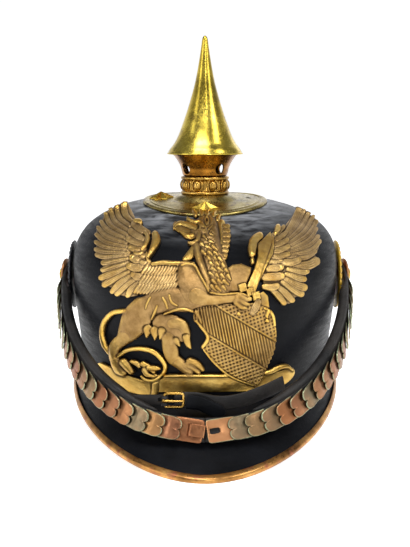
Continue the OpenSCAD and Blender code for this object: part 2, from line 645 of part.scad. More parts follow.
// Side bolts, cockades and rosettes, along X at the height of the bolts
skull_side_x = skull_r(0, side_belly);
cockade_in = skull_side_x + fit;
cockade_metal = 1.1;
module cockade(ring_colour) {
    r = cockade_d / 2;
    flute = r / 22;
    rim_lift = r / 12;
    outline = [for (i = [0:2 * flutes - 1]) let (a = 180 * i / flutes, q = r - (i % 2) * flute)
        [q * cos(a), q * sin(a)]];
    color(ring_colour) translate([cockade_in, 0, bolt_z]) rotate([0, 90, 0]) difference() {
        union() {
            linear_extrude(cockade_metal) polygon(outline);
            for (i = [0:flutes - 1]) rotate([0, 0, (i + 0.5) * 360 / flutes - 180 / flutes])
                translate([r * 0.66, 0, cockade_metal / 2]) rotate([0, 90 - 5, 0])
                    cylinder(h = r * 0.31, d1 = 2 * flute, d2 = 3.4 * flute, $fn = 16);
            rotate_extrude() translate([r * 0.62, 0]) square([flute, cockade_metal * 1.3]);
        }
        cylinder(h = 8 * rim_lift, d = bolt_d + 2 * bolt_fit, center = true);
    }
}
module cockade_right() {
    cockade("#c9a23a");
}
module cockade_left() {
    mirror([1, 0, 0]) cockade("#26242a");
}

// Path of one strap in the sloping plane through both bolts: how far out (x) and how far down it (rho)
strap_reach = skull_half_l + strap_ahead;
visor_root = skull_r(-90, skull_base) + fit;
strap_over_visor = visor_mid(-90, (strap_reach - visor_root) / (rim_reach - visor_root), rim_front_round, front_bow);
strap_front_z = strap_over_visor.z + strap_above;
strap_reach_l = norm([strap_reach, bolt_z - strap_front_z]);
strap_slope = atan2(bolt_z - strap_front_z, strap_reach);
strap_round = 2.15;
strap_end_l = strap_w * 0.73;
end_draw = 1.4;
end_draw_l = 26;
path_steps = 60;
function strap_x(rho) = strap_half_w * pow(1 - pow(max(0, rho) / strap_reach_l, strap_round), 1 / strap_round)
    - end_draw * pow(max(0, 1 - rho / end_draw_l), 2);
path_rho = concat([for (i = [0:3]) -strap_end_l * (1 - i / 4)],
    [for (i = [0:path_steps]) strap_reach_l * pow(sin(90 * i / path_steps), 2 / strap_round)]);
path = [for (rho = path_rho) [strap_x(rho), rho]];
path_l = [for (i = 0, s = 0; i < len(path); s = s + (i + 1 < len(path) ? norm(path[i + 1] - path[i]) : 0), i = i + 1) s];
strap_l = path_l[len(path_l) - 1];
x_table = [for (i = [0:len(path) - 1]) [path_l[i], path[i].x]];
rho_table = [for (i = [0:len(path) - 1]) [path_l[i], path[i].y]];
function strap_mid(l) = let (rho = lookup(l, rho_table))
    [lookup(l, x_table), -rho * cos(strap_slope), bolt_z - rho * sin(strap_slope)];
// Lean of the strap at the front, where it lies back on the visor
front_lean = 33;
look = 2;
function strap_along(l) = let (a = max(0, l - look), b = min(strap_l, l + look)) unit(strap_mid(b) - strap_mid(a));
// Frame of the strap: along it, outwards from its face, and down across it
function strap_frame(l) = let (t = l > strap_l - look ? [-1, 0, 0] : strap_along(l),
    flat = unit([-t.y, t.x, 0]), down = cross(flat, t), lean = front_lean * pow(l / strap_l, 2))
    [t, flat * cos(lean) - down * sin(lean), down * cos(lean) + flat * sin(lean)];
function strap_at(l, across, off) = let (f = strap_frame(l)) strap_mid(l) + f[2] * across + f[1] * off;
strap_steps = 26;
module strap_half() {
    h = strap_wall / 2;
    edge = h * 0.45;
    stops = concat([0, 0.012, 0.035], [for (i = [1:strap_steps]) mix(0.035, 1, i / strap_steps)]);
    function half_w(s) = strap_w / 2 * (s == 0 ? 0.45 : s < 0.02 ? 0.78 : 1);
    function ring(s) = let (l = min(strap_l - sheet_fit, s * strap_l), w = half_w(s))
        [strap_at(l, -w + edge, -h), strap_at(l, -w, -h + edge), strap_at(l, -w, h - edge), strap_at(l, -w + edge, h),
         strap_at(l, w - edge, h), strap_at(l, w, h - edge), strap_at(l, w, -h + edge), strap_at(l, w - edge, -h)];
    difference() {
        sweep([for (s = stops) ring(s)]);
        bolt_bore(bolt_d + 2 * bolt_fit);
    }
}
module bolt_bore(d) {
    translate([skull_half_w / 2, 0, bolt_z]) rotate([0, 90, 0]) cylinder(h = skull_half_w, d = d);
}
module strap_right() {
    color(lacquer) strap_half();
}
module strap_left() {
    color(lacquer) mirror([1, 0, 0]) strap_half();
}

// Places a flat piece on the strap: x along it, y down across it, z outwards
module on_strap(l, off, tilt) {
    f = strap_frame(l);
    p = strap_at(l, 0, off);
    multmatrix([[f[0].x, f[2].x, f[1].x, p.x], [f[0].y, f[2].y, f[1].y, p.y], [f[0].z, f[2].z, f[1].z, p.z],
        [0, 0, 0, 1]]) rotate([0, -tilt, 0]) children();
}
scales_start = strap_end_l + rosette_d / 2 + sheet_fit;
hook_l = 21;
scale_pitch = (strap_l - hook_l * 0.8 - scales_start) / scales;
scale_l = scale_pitch * 1.42;
scale_tilt = atan((scale_metal + sheet_fit) / scale_pitch) + 1;
// Outline of one scale: square root, two round lobes with a notch between them
scale_share = [[0, -0.5], [0.62, -0.5], [0.86, -0.44], [0.98, -0.3], [1, -0.16], [0.95, -0.05], [0.84, 0],
    [0.95, 0.05], [1, 0.16], [0.98, 0.3], [0.86, 0.44], [0.62, 0.5], [0, 0.5]];
module scale_row() {
    for (i = [0:scales - 1])
        on_strap(scales_start + i * scale_pitch, strap_wall / 2 + sheet_fit, scale_tilt)
            linear_extrude(scale_metal) polygon([for (s = scale_share) [s.x * scale_l, s.y * scale_w]]);
}
module scales_right() {
    color(copper) scale_row();
}
module scales_left() {
    color(copper) mirror([1, 0, 0]) scale_row();
}
module end_plate(l) {
    linear_extrude(scale_metal) polygon([[0, -scale_w / 2], [l, -scale_w / 2], [l, scale_w / 2], [0, scale_w / 2]]);
}
slot_l = 6;
slot_w = 3.2;
module slot_plate() {
    plate_l = hook_l * 0.84;
    color(copper) on_strap(strap_l - hook_l * 0.86, strap_wall / 2 + sheet_fit, 1.2 * scale_tilt) difference() {
        end_plate(plate_l);
        translate([plate_l * 0.57, -slot_w / 2, -scale_metal]) cube([slot_l, slot_w, 3 * scale_metal]);
    }
}
module hook_plate() {
    plate_l = hook_l * 0.84;
    hook_h = 2.4;
    color(copper) mirror([1, 0, 0]) on_strap(strap_l - hook_l * 0.86, strap_wall / 2 + sheet_fit, 1.2 * scale_tilt) {
        end_plate(plate_l);
        translate([plate_l * 0.58, 0, scale_metal]) rotate([90, 0, 0]) linear_extrude(scale_w * 0.55, center = true)
            polygon([[-0.3 * slot_l, 0], [0, hook_h], [1.5 * slot_l, hook_h], [1.5 * slot_l, hook_h - scale_metal],
                [0.1 * slot_l, hook_h - scale_metal], [0, 0]]);
    }
}

// Rosette, turned, on the strap's end; its bore follows the bolt
module rosette() {
    r = rosette_d / 2;
    h = rosette_d / 11;
    profile = [[0, 0], [r, 0], [r, h * 0.35], [r * 0.88, h * 0.7], [r * 0.76, h * 0.42], [r * 0.6, h * 0.5],
        [r * 0.45, h], [0, h * 0.75]];
    difference() {
        on_strap(strap_end_l, strap_wall / 2 + sheet_fit, 0) rotate_extrude() polygon(profile);
        bolt_bore(bolt_d + 2 * bolt_fit);
    }
}
module rosette_right() {
    color(copper) rosette();
}
module rosette_left() {
    color(copper) mirror([1, 0, 0]) rosette();
}
strap_out_x = strap_x(0) + strap_wall / 2;
side_nut_w = 2.2 * bolt_d;
side_nut_x = skull_r(0, bolt_z - side_nut_w / 2) - skull_wall - 2 * fit;
module side_bolts() {
    head_r = bolt_d * 0.95;
    head_h = bolt_d * 0.5;
    head_x = strap_out_x + rosette_d / 11 + head_r * 0.25;
    collar_x = cockade_in + cockade_metal + fit;
    collar_l = strap_x(0) - strap_wall / 2 - collar_x - 0.2 * bolt_d;
    color(brass) right_and_left() translate([0, 0, bolt_z]) rotate([0, 90, 0]) difference() {
        union() {
            translate([0, 0, side_nut_x - nut_h])
                cylinder(h = head_x + head_h / 2 - side_nut_x + nut_h, d = bolt_d);
            translate([0, 0, collar_x]) cylinder(h = collar_l, d = bolt_d * 1.5);
            translate([0, 0, head_x]) rotate_extrude() polygon([[0, 0], [head_r, 0], [head_r, head_h * 0.4],
                [head_r * 0.8, head_h * 0.8], [0, head_h]]);
        }
        translate([0, 0, head_x + head_h]) cube([3 * head_r, bolt_d / 5, head_h], center = true);
    }
}
module side_nuts() {
    color(steel) right_and_left() translate([side_nut_x, 0, bolt_z]) rotate([0, 90, 0])
        square_nut(bolt_d, side_nut_w, nut_h);
}

// Buckle and its leather, behind the upper edge of the scales
buckle_x = -18;
buckle_y = buckle_behind - strap_reach;
buckle_low = strap_front_z + strap_w * 0.6;
buckle_mid_z = buckle_low + buckle_h / 2;
tongue_y = buckle_y + buckle_wire / 2 + fit + tongue_wall / 2;
bar_x = buckle_x - buckle_w / 2 + buckle_wire / 2;
module buckle_frame() {
    wire = buckle_wire / 2;
    half_w = buckle_w / 2 - wire;
    half_h = buckle_h / 2 - wire;
    corners = [[-half_w, -half_h], [half_w, -half_h], [half_w, half_h], [-half_w, half_h]];
    color(brass) translate([buckle_x, buckle_y, buckle_mid_z]) for (i = [0:3]) {
        a = corners[i];
        b = corners[(i + 1) % 4];
        translate([a.x, 0, a.y]) sphere(wire, $fn = 24);
        seat([a.x, 0, a.y], [b.x - a.x, 0, b.y - a.y]) cylinder(h = norm(b - a), r = wire, $fn = 24);
    }
}
prong_w = 1.9;
module buckle_prong() {
    eye_r = buckle_wire / 2 + 0.6 * tongue_wall;
    rest_y = -buckle_wire / 2 - sheet_fit - prong_w / 4;
    pin_l = buckle_w - buckle_wire / 2;
    color(brass) translate([bar_x, buckle_y, buckle_mid_z]) difference() {
        union() {
            cylinder(h = prong_w, r = eye_r, center = true, $fn = 32);
            seat([0, rest_y, 0], [1, 0, 0]) cylinder(h = pin_l, r1 = prong_w / 2, r2 = prong_w / 3, $fn = 24);
        }
        cylinder(h = 2 * prong_w, d = buckle_wire + 2 * sheet_fit, center = true, $fn = 32);
    }
}
loop_share = 0.58;
module buckle_strap() {
    loop_h = buckle_h * loop_share;
    loop_in = buckle_wire / 2 + sheet_fit;
    loop_r = loop_in + 0.7 * tongue_wall;
    slot_h = prong_w + 4 * sheet_fit;
    tab_l = 1.48 * buckle_w;
    tab_in = loop_in + 2 * tongue_wall;
    color(lacquer) translate([bar_x, buckle_y, buckle_mid_z]) difference() {
        union() {
            cylinder(h = loop_h, r = loop_r, center = true, $fn = 32);
            translate([-tab_l, loop_r - tongue_wall * 0.7, -loop_h / 2]) cube([tab_l, tongue_wall * 0.7, loop_h]);
        }
        cylinder(h = 2 * loop_h, r = loop_in, center = true, $fn = 32);
        translate([-tab_in, -2 * loop_r, -slot_h / 2]) cube([2 * tab_in, 4 * loop_r, slot_h]);
    }
}

// Leather ribbon standing on edge along a hand-chosen route of [x, y, z]
module ribbon(route, steps) {
    h = tongue_wall / 2;
    nudge = row_step_share;
    function ring(t) = let (c = along(route, t),
        d = unit(along(route, min(1, t + nudge)) - along(route, max(0, t - nudge))),
        n = unit([d.y, -d.x, 0]), up = cross(n, d) * (cross(n, d).z < 0 ? -1 : 1))
        [for (s = [[-1, -1], [-1, 1], [1, 1], [1, -1]]) c + up * s.x * tongue_w / 2 + n * s.y * h];
    sweep([for (i = [0:steps]) ring(i / steps)]);
}
module strap_tongue() {
    top_z = buckle_mid_z;
    route = [[buckle_x, tongue_y, top_z], [buckle_x + buckle_w, tongue_y, top_z],
        [buckle_x + 2 * buckle_w, tongue_y, top_z - 0.25 * tongue_w],
        [buckle_x + 3 * buckle_w, tongue_y + 0.1 * tongue_w, top_z - 0.15 * tongue_w],
        [buckle_x + 4.2 * buckle_w, tongue_y + 0.65 * tongue_w, top_z + 0.3 * tongue_w],
        [buckle_x + 5.2 * buckle_w, tongue_y + 1.55 * tongue_w, top_z + 0.7 * tongue_w]];
    color(lacquer) ribbon(route, 16);
}
module strap_tip() {
    start_x = buckle_x + buckle_w * 0.6;
    tip_y = buckle_y - 0.2;
    route = [[start_x, tip_y, buckle_mid_z - 0.1 * tongue_w],
        [start_x + 0.9 * tongue_w, tip_y, buckle_mid_z - 0.22 * tongue_w],
        [start_x + 1.8 * tongue_w, tip_y, buckle_mid_z - 0.65 * tongue_w],
        [start_x + 2.6 * tongue_w, tip_y, buckle_mid_z - 0.9 * tongue_w]];
    color(lacquer) ribbon(route, 8);
}

// Sweatband: sewn at the skull's lower edge, standing away from it higher up
band_turns = 48;
band_rows_share = [0, 0.25, 0.5, 0.75, 1];
band_gap = stud_reach + fit;
module sweatband() {
    turns = [for (i = [0:band_turns - 1]) 360 * i / band_turns];
    function off(t) = mix(skull_wall + fit, band_gap, soft(2 * t));
    function skin(t, in) = [for (az = turns) let (z = skull_base + band_h * t)
        polar(az, skull_r(az, z) - off(t) - in, z)];
    color(tan) shell([for (t = band_rows_share) skin(t, 0)], [for (t = band_rows_share) skin(t, band_wall)], true);
}
// The silk hangs from the sweatband's upper edge in folds that gather under the crown
module silk_lining() {
    turns_per_fold = 5;
    cols = folds * turns_per_fold;
    band_top = skull_base + band_h;
    fold = 1.6;
    drop = 16;
    top_share = 0.94;
    steps = 6;
    function start(az) = belly_share * (band_top - skull_base) / (belly(az) - skull_base);
    function off(s) = mix(band_gap, skull_wall + drop, pow(s, 2));
    function wave(s, j) = fold * soft(3 * s) * (1 + cos(360 * (j % turns_per_fold) / turns_per_fold));
    function hem(in) = [for (j = [0:cols - 1]) let (az = 360 * j / cols)
        polar(az, skull_r(az, band_top) - band_gap - in, band_top + fit)];
    function skin(in) = concat([hem(in)], [for (i = [1:steps]) let (s = i / steps)
        [for (j = [0:cols - 1]) let (az = 360 * j / cols)
            skull_off(az, mix(start(az), top_share, s), -off(s) - in - wave(s, j))]]);
    color(silk) shell(skin(0), skin(silk_wall), true);
}

skull();
front_visor();
visor_trim();
neck_guard();
rear_spine();
spine_screws();
spine_nuts();
base_plate();
star_studs();
star_stud_nuts();
spike_neck();
pearl_ring();
spike_socket();
spike();
spike_screw();
helmet_plate();
plate_studs();
plate_nuts();
cockade_left();
cockade_right();
side_bolts();
side_nuts();
rosette_left();
rosette_right();
strap_left();
strap_right();
scales_left();
scales_right();
hook_plate();
slot_plate();
strap_tongue();
strap_tip();
buckle_strap();
buckle_frame();
buckle_prong();
sweatband();
silk_lining();
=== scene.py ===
import bpy
import math
import numpy as np
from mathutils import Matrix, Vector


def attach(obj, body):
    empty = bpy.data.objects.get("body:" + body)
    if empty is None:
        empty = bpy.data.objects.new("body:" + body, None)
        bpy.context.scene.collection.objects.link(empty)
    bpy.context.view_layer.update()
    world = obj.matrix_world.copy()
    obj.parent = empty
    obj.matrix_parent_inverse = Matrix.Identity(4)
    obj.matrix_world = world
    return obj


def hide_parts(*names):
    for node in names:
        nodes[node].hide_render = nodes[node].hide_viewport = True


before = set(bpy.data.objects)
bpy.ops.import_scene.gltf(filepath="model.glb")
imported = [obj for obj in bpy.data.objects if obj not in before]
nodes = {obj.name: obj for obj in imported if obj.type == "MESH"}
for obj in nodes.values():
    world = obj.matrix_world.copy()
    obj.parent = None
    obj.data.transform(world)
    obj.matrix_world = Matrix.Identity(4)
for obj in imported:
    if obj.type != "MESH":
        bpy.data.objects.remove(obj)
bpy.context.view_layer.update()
rng = np.random.default_rng(11)
metre = 0.001  # shapes are worked out in millimetres and put into the mesh in metres

view = {"lens": 52.65, "sensor": 36.0, "place": (0.0, -0.560, 0.185), "tilt": 80.4,
        "imageHeight": 547, "middle": (204.5, 273.5)}


def linear(hexColour):
    # sRGB hex to linear: the usual curve, c/12.92 below 0.04045 and ((c+0.055)/1.055)^2.4 above
    c = np.array([int(hexColour[i:i + 2], 16) for i in (1, 3, 5)]) / 255
    c = np.where(c <= 0.04045, c / 12.92, ((c + 0.055) / 1.055) ** 2.4)
    return (*c.tolist(), 1.0)


def addNode(tree, kind, inputs=None, stops=(), **settings):
    # one node with its settings, its ramp stops, and a value or link for each input: a node stands for its first
    # output and a hex string for its colour. A MapRange reads from input 1 to 2 and gives 3 to 4.
    added = tree.nodes.new("ShaderNode" + kind)
    for key, value in settings.items():
        setattr(added, key, value)
    for k, (place, colour) in enumerate(stops):
        ramp = added.color_ramp.elements
        element = ramp[k] if k < 2 else ramp.new(place)
        element.position = place
        element.color = linear(colour) if isinstance(colour, str) else (colour, colour, colour, 1)
    for key, value in (inputs or {}).items():
        value = value.outputs[0] if isinstance(value, bpy.types.Node) else value
        if isinstance(value, bpy.types.NodeSocket):
            tree.links.new(value, added.inputs[key])
        else:
            added.inputs[key].default_value = linear(value) if isinstance(value, str) else value
    return added


def makeCamera():
    # a lens in front of the visor that looks down by 90 - tilt degrees
    camera = bpy.data.objects.new("camera", bpy.data.cameras.new("camera"))
    camera.data.lens = view["lens"]
    camera.data.sensor_width = view["sensor"]
    camera.location = view["place"]
    camera.rotation_euler = (math.radians(view["tilt"]), 0, 0)
    bpy.context.scene.collection.objects.link(camera)
    bpy.context.scene.camera = camera


lamps = {
    # name: place, point it looks at, width and height, power
    "softboxTop": ((-0.15, -0.45, 1.1), (0, 0, 0.12), (0.6, 0.4), 9.0),
    "softboxLeft": ((-0.95, -0.5, 0.45), (0, 0, 0.10), (0.35, 0.7), 2.8),
    "softboxRight": ((0.7, -0.45, 0.85), (0, 0, 0.14), (0.3, 0.5), 4.6),
    "softboxBack": ((0.2, 0.95, 0.75), (0, 0, 0.12), (1.2, 0.8), 2.5),
    "stripFront": ((0.2, -1.05, 0.5), (0, 0, 0.16), (0.07, 0.6), 3.2),
}


room = {"colour": "#c9ccd2", "strength": 0.42}


def makeLight():
    # area lamps, each turned from its place towards its target
    for name, (place, target, size, power) in lamps.items():
        lamp = bpy.data.lights.new(name, "AREA")
        lamp.shape = "RECTANGLE"
        lamp.size, lamp.size_y = size
        lamp.energy = power
        obj = bpy.data.objects.new(name, lamp)
        obj.location = place
        look = Vector(target) - Vector(place)
        obj.rotation_euler = look.to_track_quat("-Z", "Y").to_euler()
        bpy.context.scene.collection.objects.link(obj)
    # a dim grey room, so that the black hide stays black and the metals keep dark tones
    world = bpy.data.worlds.new("room")
    bpy.context.scene.world = world
    world.use_nodes = True
    tree = world.node_tree
    tree.nodes.clear()
    grey = addNode(tree, "Background", {"Color": room["colour"], "Strength": room["strength"]})
    addNode(tree, "OutputWorld", {"Surface": grey})
    bpy.context.scene.view_settings.view_transform = "Standard"


floorShape = {"flat": 5.0, "bend": 0.5, "wall": 2.4, "grey": 0.86, "glow": 0.82, "turns": 96}


def makeFloor():
    # floor that bends up all round into a low wall far away, white to the eye and with a soft shadow
    flat, bend = floorShape["flat"], floorShape["bend"]
    t = np.linspace(0, np.pi / 2, 20)[1:]
    r = np.concatenate([[0.01, 0.5, 1, 2, 3.5, flat], flat + bend * np.sin(t), [flat + bend]])
    z = np.concatenate([np.zeros(6), bend * (1 - np.cos(t)), [floorShape["wall"]]])
    a, n = allRound(floorShape["turns"]), len(r)
    faces = gridFaces(len(a), n, True).tolist() + [[k * n for k in range(len(a) - 1, -1, -1)]]
    mesh = bpy.data.meshes.new("floor")
    mesh.from_pydata(polar(a, r, z).reshape(-1, 3).tolist(), [], faces)
    floor = bpy.data.objects.new("floor", mesh)
    bpy.context.scene.collection.objects.link(floor)
    material, tree, _ = newMaterial("paperWhite")
    path = addNode(tree, "LightPath").outputs
    seen = addNode(tree, "Math", {0: path["Is Camera Ray"], 1: path["Is Glossy Ray"]}, operation="MAXIMUM")
    seen = addNode(tree, "Math", {0: seen, 1: path["Is Transmission Ray"]}, operation="MAXIMUM")
    glow = addNode(tree, "Math", {0: seen, 1: floorShape["glow"]}, operation="MULTIPLY")
    diffuse = addNode(tree, "BsdfDiffuse", {"Color": (floorShape["grey"],) * 3 + (1,)})
    emission = addNode(tree, "Emission", {"Color": (1, 1, 1, 1), "Strength": glow})
    addNode(tree, "OutputMaterial", {"Surface": addNode(tree, "AddShader", {0: diffuse, 1: emission})})
    mesh.materials.append(material)


def allRound(count):
    # a column of azimuths in even steps round the axis
    return np.linspace(0, 360, count, endpoint=False)[:, None]


def gridFaces(rows, cols, wrapRows=False, wrapCols=False):
    # quads between neighbours of a grid whose point (i, j) has the number i * cols + j
    i, j = np.meshgrid(np.arange(rows if wrapRows else rows - 1), np.arange(cols if wrapCols else cols - 1),
                       indexing="ij")
    k, m = (i + 1) % rows, (j + 1) % cols
    return np.stack([i * cols + j, i * cols + m, k * cols + m, k * cols + j], -1).reshape(-1, 4)


def outward(shape):
    # faces turned so that the volume inside, the sum of p0 . (pj x pk) over each face's fan, is above zero
    points = np.asarray(shape[0], float)
    faces = [np.asarray(group, int) for group in shape[1]]
    total = 0.0
    for group in faces:
        for k in range(1, group.shape[1] - 1):
            a, b, c = points[group[:, 0]], points[group[:, k]], points[group[:, k + 1]]
            total += np.einsum("ij,ij->", a, np.cross(b, c))
    return points, [group[:, ::-1] for group in faces] if total < 0 else faces


def putMesh(name, shapes, finish, stands, layers=None, body="root", flat=False):
    # shapes: (points, face groups) in millimetres, each closed; layers: numbers for each point that materials read
    points, groups, start = [], [], 0
    for p, faces in map(outward, shapes):
        groups += [group + start for group in faces]
        points.append(p)
        start += len(p)
    points = np.concatenate(points) * metre
    corners = np.concatenate([group.ravel() for group in groups])
    totals = np.concatenate([np.full(len(group), group.shape[1]) for group in groups])
    mesh = bpy.data.meshes.new(name)
    mesh.vertices.add(len(points))
    mesh.vertices.foreach_set("co", points.astype(np.float32).ravel())
    mesh.loops.add(len(corners))
    mesh.loops.foreach_set("vertex_index", corners.astype(np.int32))
    mesh.polygons.add(len(totals))
    mesh.polygons.foreach_set("loop_start", (np.cumsum(totals) - totals).astype(np.int32))
    mesh.polygons.foreach_set("loop_total", totals.astype(np.int32))
    mesh.polygons.foreach_set("use_smooth", np.full(len(totals), not flat))
    mesh.update(calc_edges=True)
    for key, values in (layers or {}).items():
        layer = mesh.attributes.new(key, "FLOAT", "POINT")
        layer.data.foreach_set("value", np.asarray(values, np.float32).ravel())
    mesh.materials.append(materials[finish])
    piece = bpy.data.objects.new(name, mesh)
    bpy.context.scene.collection.objects.link(piece)
    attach(piece, body)
    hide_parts(stands)
    return piece


def closedGrid(rings):
    # a grid of points that meets itself both ways round
    return rings.reshape(-1, 3), [gridFaces(*rings.shape[:2], True, True)]


def sweepShape(rings, loop=False):
    # closed outlines carried along a path; the two ends are flat faces unless the path is a loop
    m, n = rings.shape[:2]
    ends = [] if loop else [np.arange(n)[None, ::-1], (m - 1) * n + np.arange(n)[None, :]]
    return rings.reshape(-1, 3), [gridFaces(m, n, loop, True)] + ends


def cappedGrid(rings, first, last):
    # closed outlines one after another, shut by a fan of triangles to a point at each end
    m, n = rings.shape[:2]
    i = np.arange(n)
    k = (i + 1) % n
    fans = [np.stack([k, i, np.full(n, m * n)], -1),
            np.stack([(m - 1) * n + i, (m - 1) * n + k, np.full(n, m * n + 1)], -1)]
    return np.vstack([rings.reshape(-1, 3), [first, last]]), [gridFaces(m, n, False, True)] + fans


def turnShape(profile, turns=96):
    # a profile of (radius, height) turned about the upright axis; it is a ring's outline, or runs from axis to axis
    r, z = np.asarray(profile, float).T
    rings = polar(allRound(turns), r, z)
    if r[0] > 0:
        return closedGrid(rings)
    return cappedGrid(rings[:, 1:-1].swapaxes(0, 1), rings[0, 0], rings[0, -1])


def discShape(outline, top, back, centre):
    # a flat piece: rings between its middle point and a closed outline, given as (share of the way out, height) for
    # the top and then for the underside
    share, height = np.array(top + back).T[..., None, None]
    flat = centre + share * (np.asarray(outline, float) - centre)
    rings = np.concatenate([flat, np.broadcast_to(height, flat[..., :1].shape)], -1)
    return cappedGrid(rings, [*centre, top[0][1]], [*centre, back[-1][1]])


def placed(shape, origin, axes):
    # local x, y, z laid along three axes at a point
    return np.asarray(origin) + shape[0] @ np.asarray(axes), shape[1]


def mirrored(shape):
    # the other side's piece: x turned to -x
    return shape[0] * [-1, 1, 1], shape[1]


def smoothLine(points, count):
    # Catmull-Rom curve through the points, evenly spaced in its parameter
    p = np.asarray(points, float)
    n = len(p) - 1
    t = np.linspace(0, n, count)
    i = np.minimum(t.astype(int), n - 1)
    f = (t - i)[:, None]
    a, b, c, d = p[np.maximum(i - 1, 0)], p[i], p[i + 1], p[np.minimum(i + 2, n)]
    return b + f * (c - a) / 2 + f * f * (a - 2.5 * b + 2 * c - d / 2) + f ** 3 * (1.5 * b - 1.5 * c + (d - a) / 2)


def unit(v):
    # each vector divided by its length
    return v / np.linalg.norm(v, axis=-1, keepdims=True)


def mix(a, b, t):
    # from a at t = 0 to b at t = 1 in a straight line
    return a + (b - a) * t


def soft(t):
    # an even step from 0 to 1: t^2 (3 - 2t)
    c = np.clip(t, 0, 1)
    return c * c * (3 - 2 * c)


def bell(x, middle, width):
    # a round bump of height 1: e^-((x - middle) / width)^2
    return np.exp(-((x - middle) / width) ** 2)


def rounded(x, least=0.0):
    # a quarter circle that falls from 1 at x = 0 to 0 at x = 1: the root of 1 - x^2
    return np.sqrt(np.clip(1 - np.clip(x, 0, 1) ** 2, least, 1))


def roundSection(halfW, halfH, power, count):
    # superellipse |x/w|^p + |y/h|^p = 1: a circle for p = 2, and flat bars with rounded edges above it
    a = np.linspace(0, 2 * np.pi, count, endpoint=False)
    circle = np.stack([np.cos(a), np.sin(a)], -1)
    return np.sign(circle) * np.abs(circle) ** (2 / power) * [halfW, halfH]


def carried(line, section, across, out, wide=1.0, high=1.0):
    # a section at each place of a line: its x along across times wide, its y along out times high
    x, y = np.reshape(wide, (-1, 1, 1)) * section[:, :1], np.reshape(high, (-1, 1, 1)) * section[:, 1:]
    return line[:, None] + across[..., None, :] * x + out[..., None, :] * y


skull = {"halfW": 91.7, "halfL": 106.0, "top": 143.3, "base": 26.0, "sideBelly": 98.0, "frontBelly": 86.0,
         "sideTuck": 5.5, "frontTuck": 5.0, "wall": 3.0, "lean": 0.105, "bellyShare": 0.42}


def sideways(az):
    # 1 at the sides and 0 at the front and back: cos^2
    return np.cos(np.radians(az)) ** 2


def belly(az):
    # height of the widest place, from the front's to the sides'
    return mix(skull["frontBelly"], skull["sideBelly"], sideways(az))


def roundness(az):
    # the superellipse's power over the belly
    return mix(2.0, 2.7, sideways(az))


def girth(az):
    # radius of the widest place, the ellipse 1 / sqrt(c^2 / w^2 + s^2 / l^2)
    s = sideways(az)
    return 1 / np.sqrt(s / skull["halfW"] ** 2 + (1 - s) / skull["halfL"] ** 2)


def climb(az, z):
    # share of the way from the belly up to the top
    return np.clip((z - belly(az)) / (skull["top"] - belly(az)), 0, 1)


def skullR(az, z):
    # radius at a height: a superellipse over the belly, a soft tuck under it
    n = roundness(az)
    over = girth(az) * np.maximum(1 - climb(az, z) ** n, 1e-9) ** (1 / n)
    tuck = mix(skull["frontTuck"], skull["sideTuck"], sideways(az))
    under = girth(az) - tuck * soft((belly(az) - z) / (belly(az) - skull["base"]))
    return np.where(z >= belly(az), over, under)


def rowAt(az, t):
    # point for an azimuth and a share of the way from the lower edge to the crown
    az, t = np.broadcast_arrays(np.asarray(az, float), np.asarray(t, float))
    share = skull["bellyShare"]
    rise = np.clip((t - share) / (1 - share), 0, 1)
    z = np.where(t < share, mix(skull["base"], belly(az), t / share),
                 mix(belly(az), skull["top"], np.sin(np.radians(90 * rise)) ** (2 / roundness(az))))
    r = skullR(az, z)
    a = np.radians(az)
    return np.stack([r * np.cos(a), r * np.sin(a), z + skull["lean"] * r * np.sin(a) * climb(az, z)], -1)


def rowNormal(az, t):
    # outward direction: the cross product of the steps round and up
    return unit(np.cross(rowAt(az + 1, t) - rowAt(az - 1, t), rowAt(az, t + 0.01) - rowAt(az, t - 0.01)))


def skullOff(az, t, off):
    # point at a distance from the surface along its normal
    az, t, off = np.broadcast_arrays(np.asarray(az, float), np.asarray(t, float), np.asarray(off, float))
    return rowAt(az, t) + off[..., None] * rowNormal(az, t)


def domeZ(az, r):
    # height of the crown at a radius: the superellipse of skullR solved for the height
    n = roundness(az)
    s = np.maximum(1 - (r / girth(az)) ** n, 1e-9) ** (1 / n)
    return mix(belly(az), skull["top"], s) + skull["lean"] * r * np.sin(np.radians(az)) * s


def domeRow(az, r):
    # the share t of rowAt at which the crown has a radius
    share = skull["bellyShare"]
    return share + (1 - share) * np.degrees(np.arccos((r / girth(az)) ** (roundness(az) / 2))) / 90


def polar(az, r, z):
    # point from azimuth in degrees, radius and height
    a = np.radians(az)
    return np.stack(np.broadcast_arrays(r * np.cos(a), r * np.sin(a), z), -1)


def newMaterial(name):
    # an empty material, its tree, and the object's own coordinates
    material = bpy.data.materials.new(name)
    material.use_nodes = True
    tree = material.node_tree
    tree.nodes.clear()
    return material, tree, addNode(tree, "TexCoord").outputs["Object"]


def finished(material, sockets):
    # the shader comes last, with a value or a node for each socket named
    tree = material.node_tree
    addNode(tree, "OutputMaterial", {"Surface": addNode(tree, "BsdfPrincipled", sockets)})
    return material


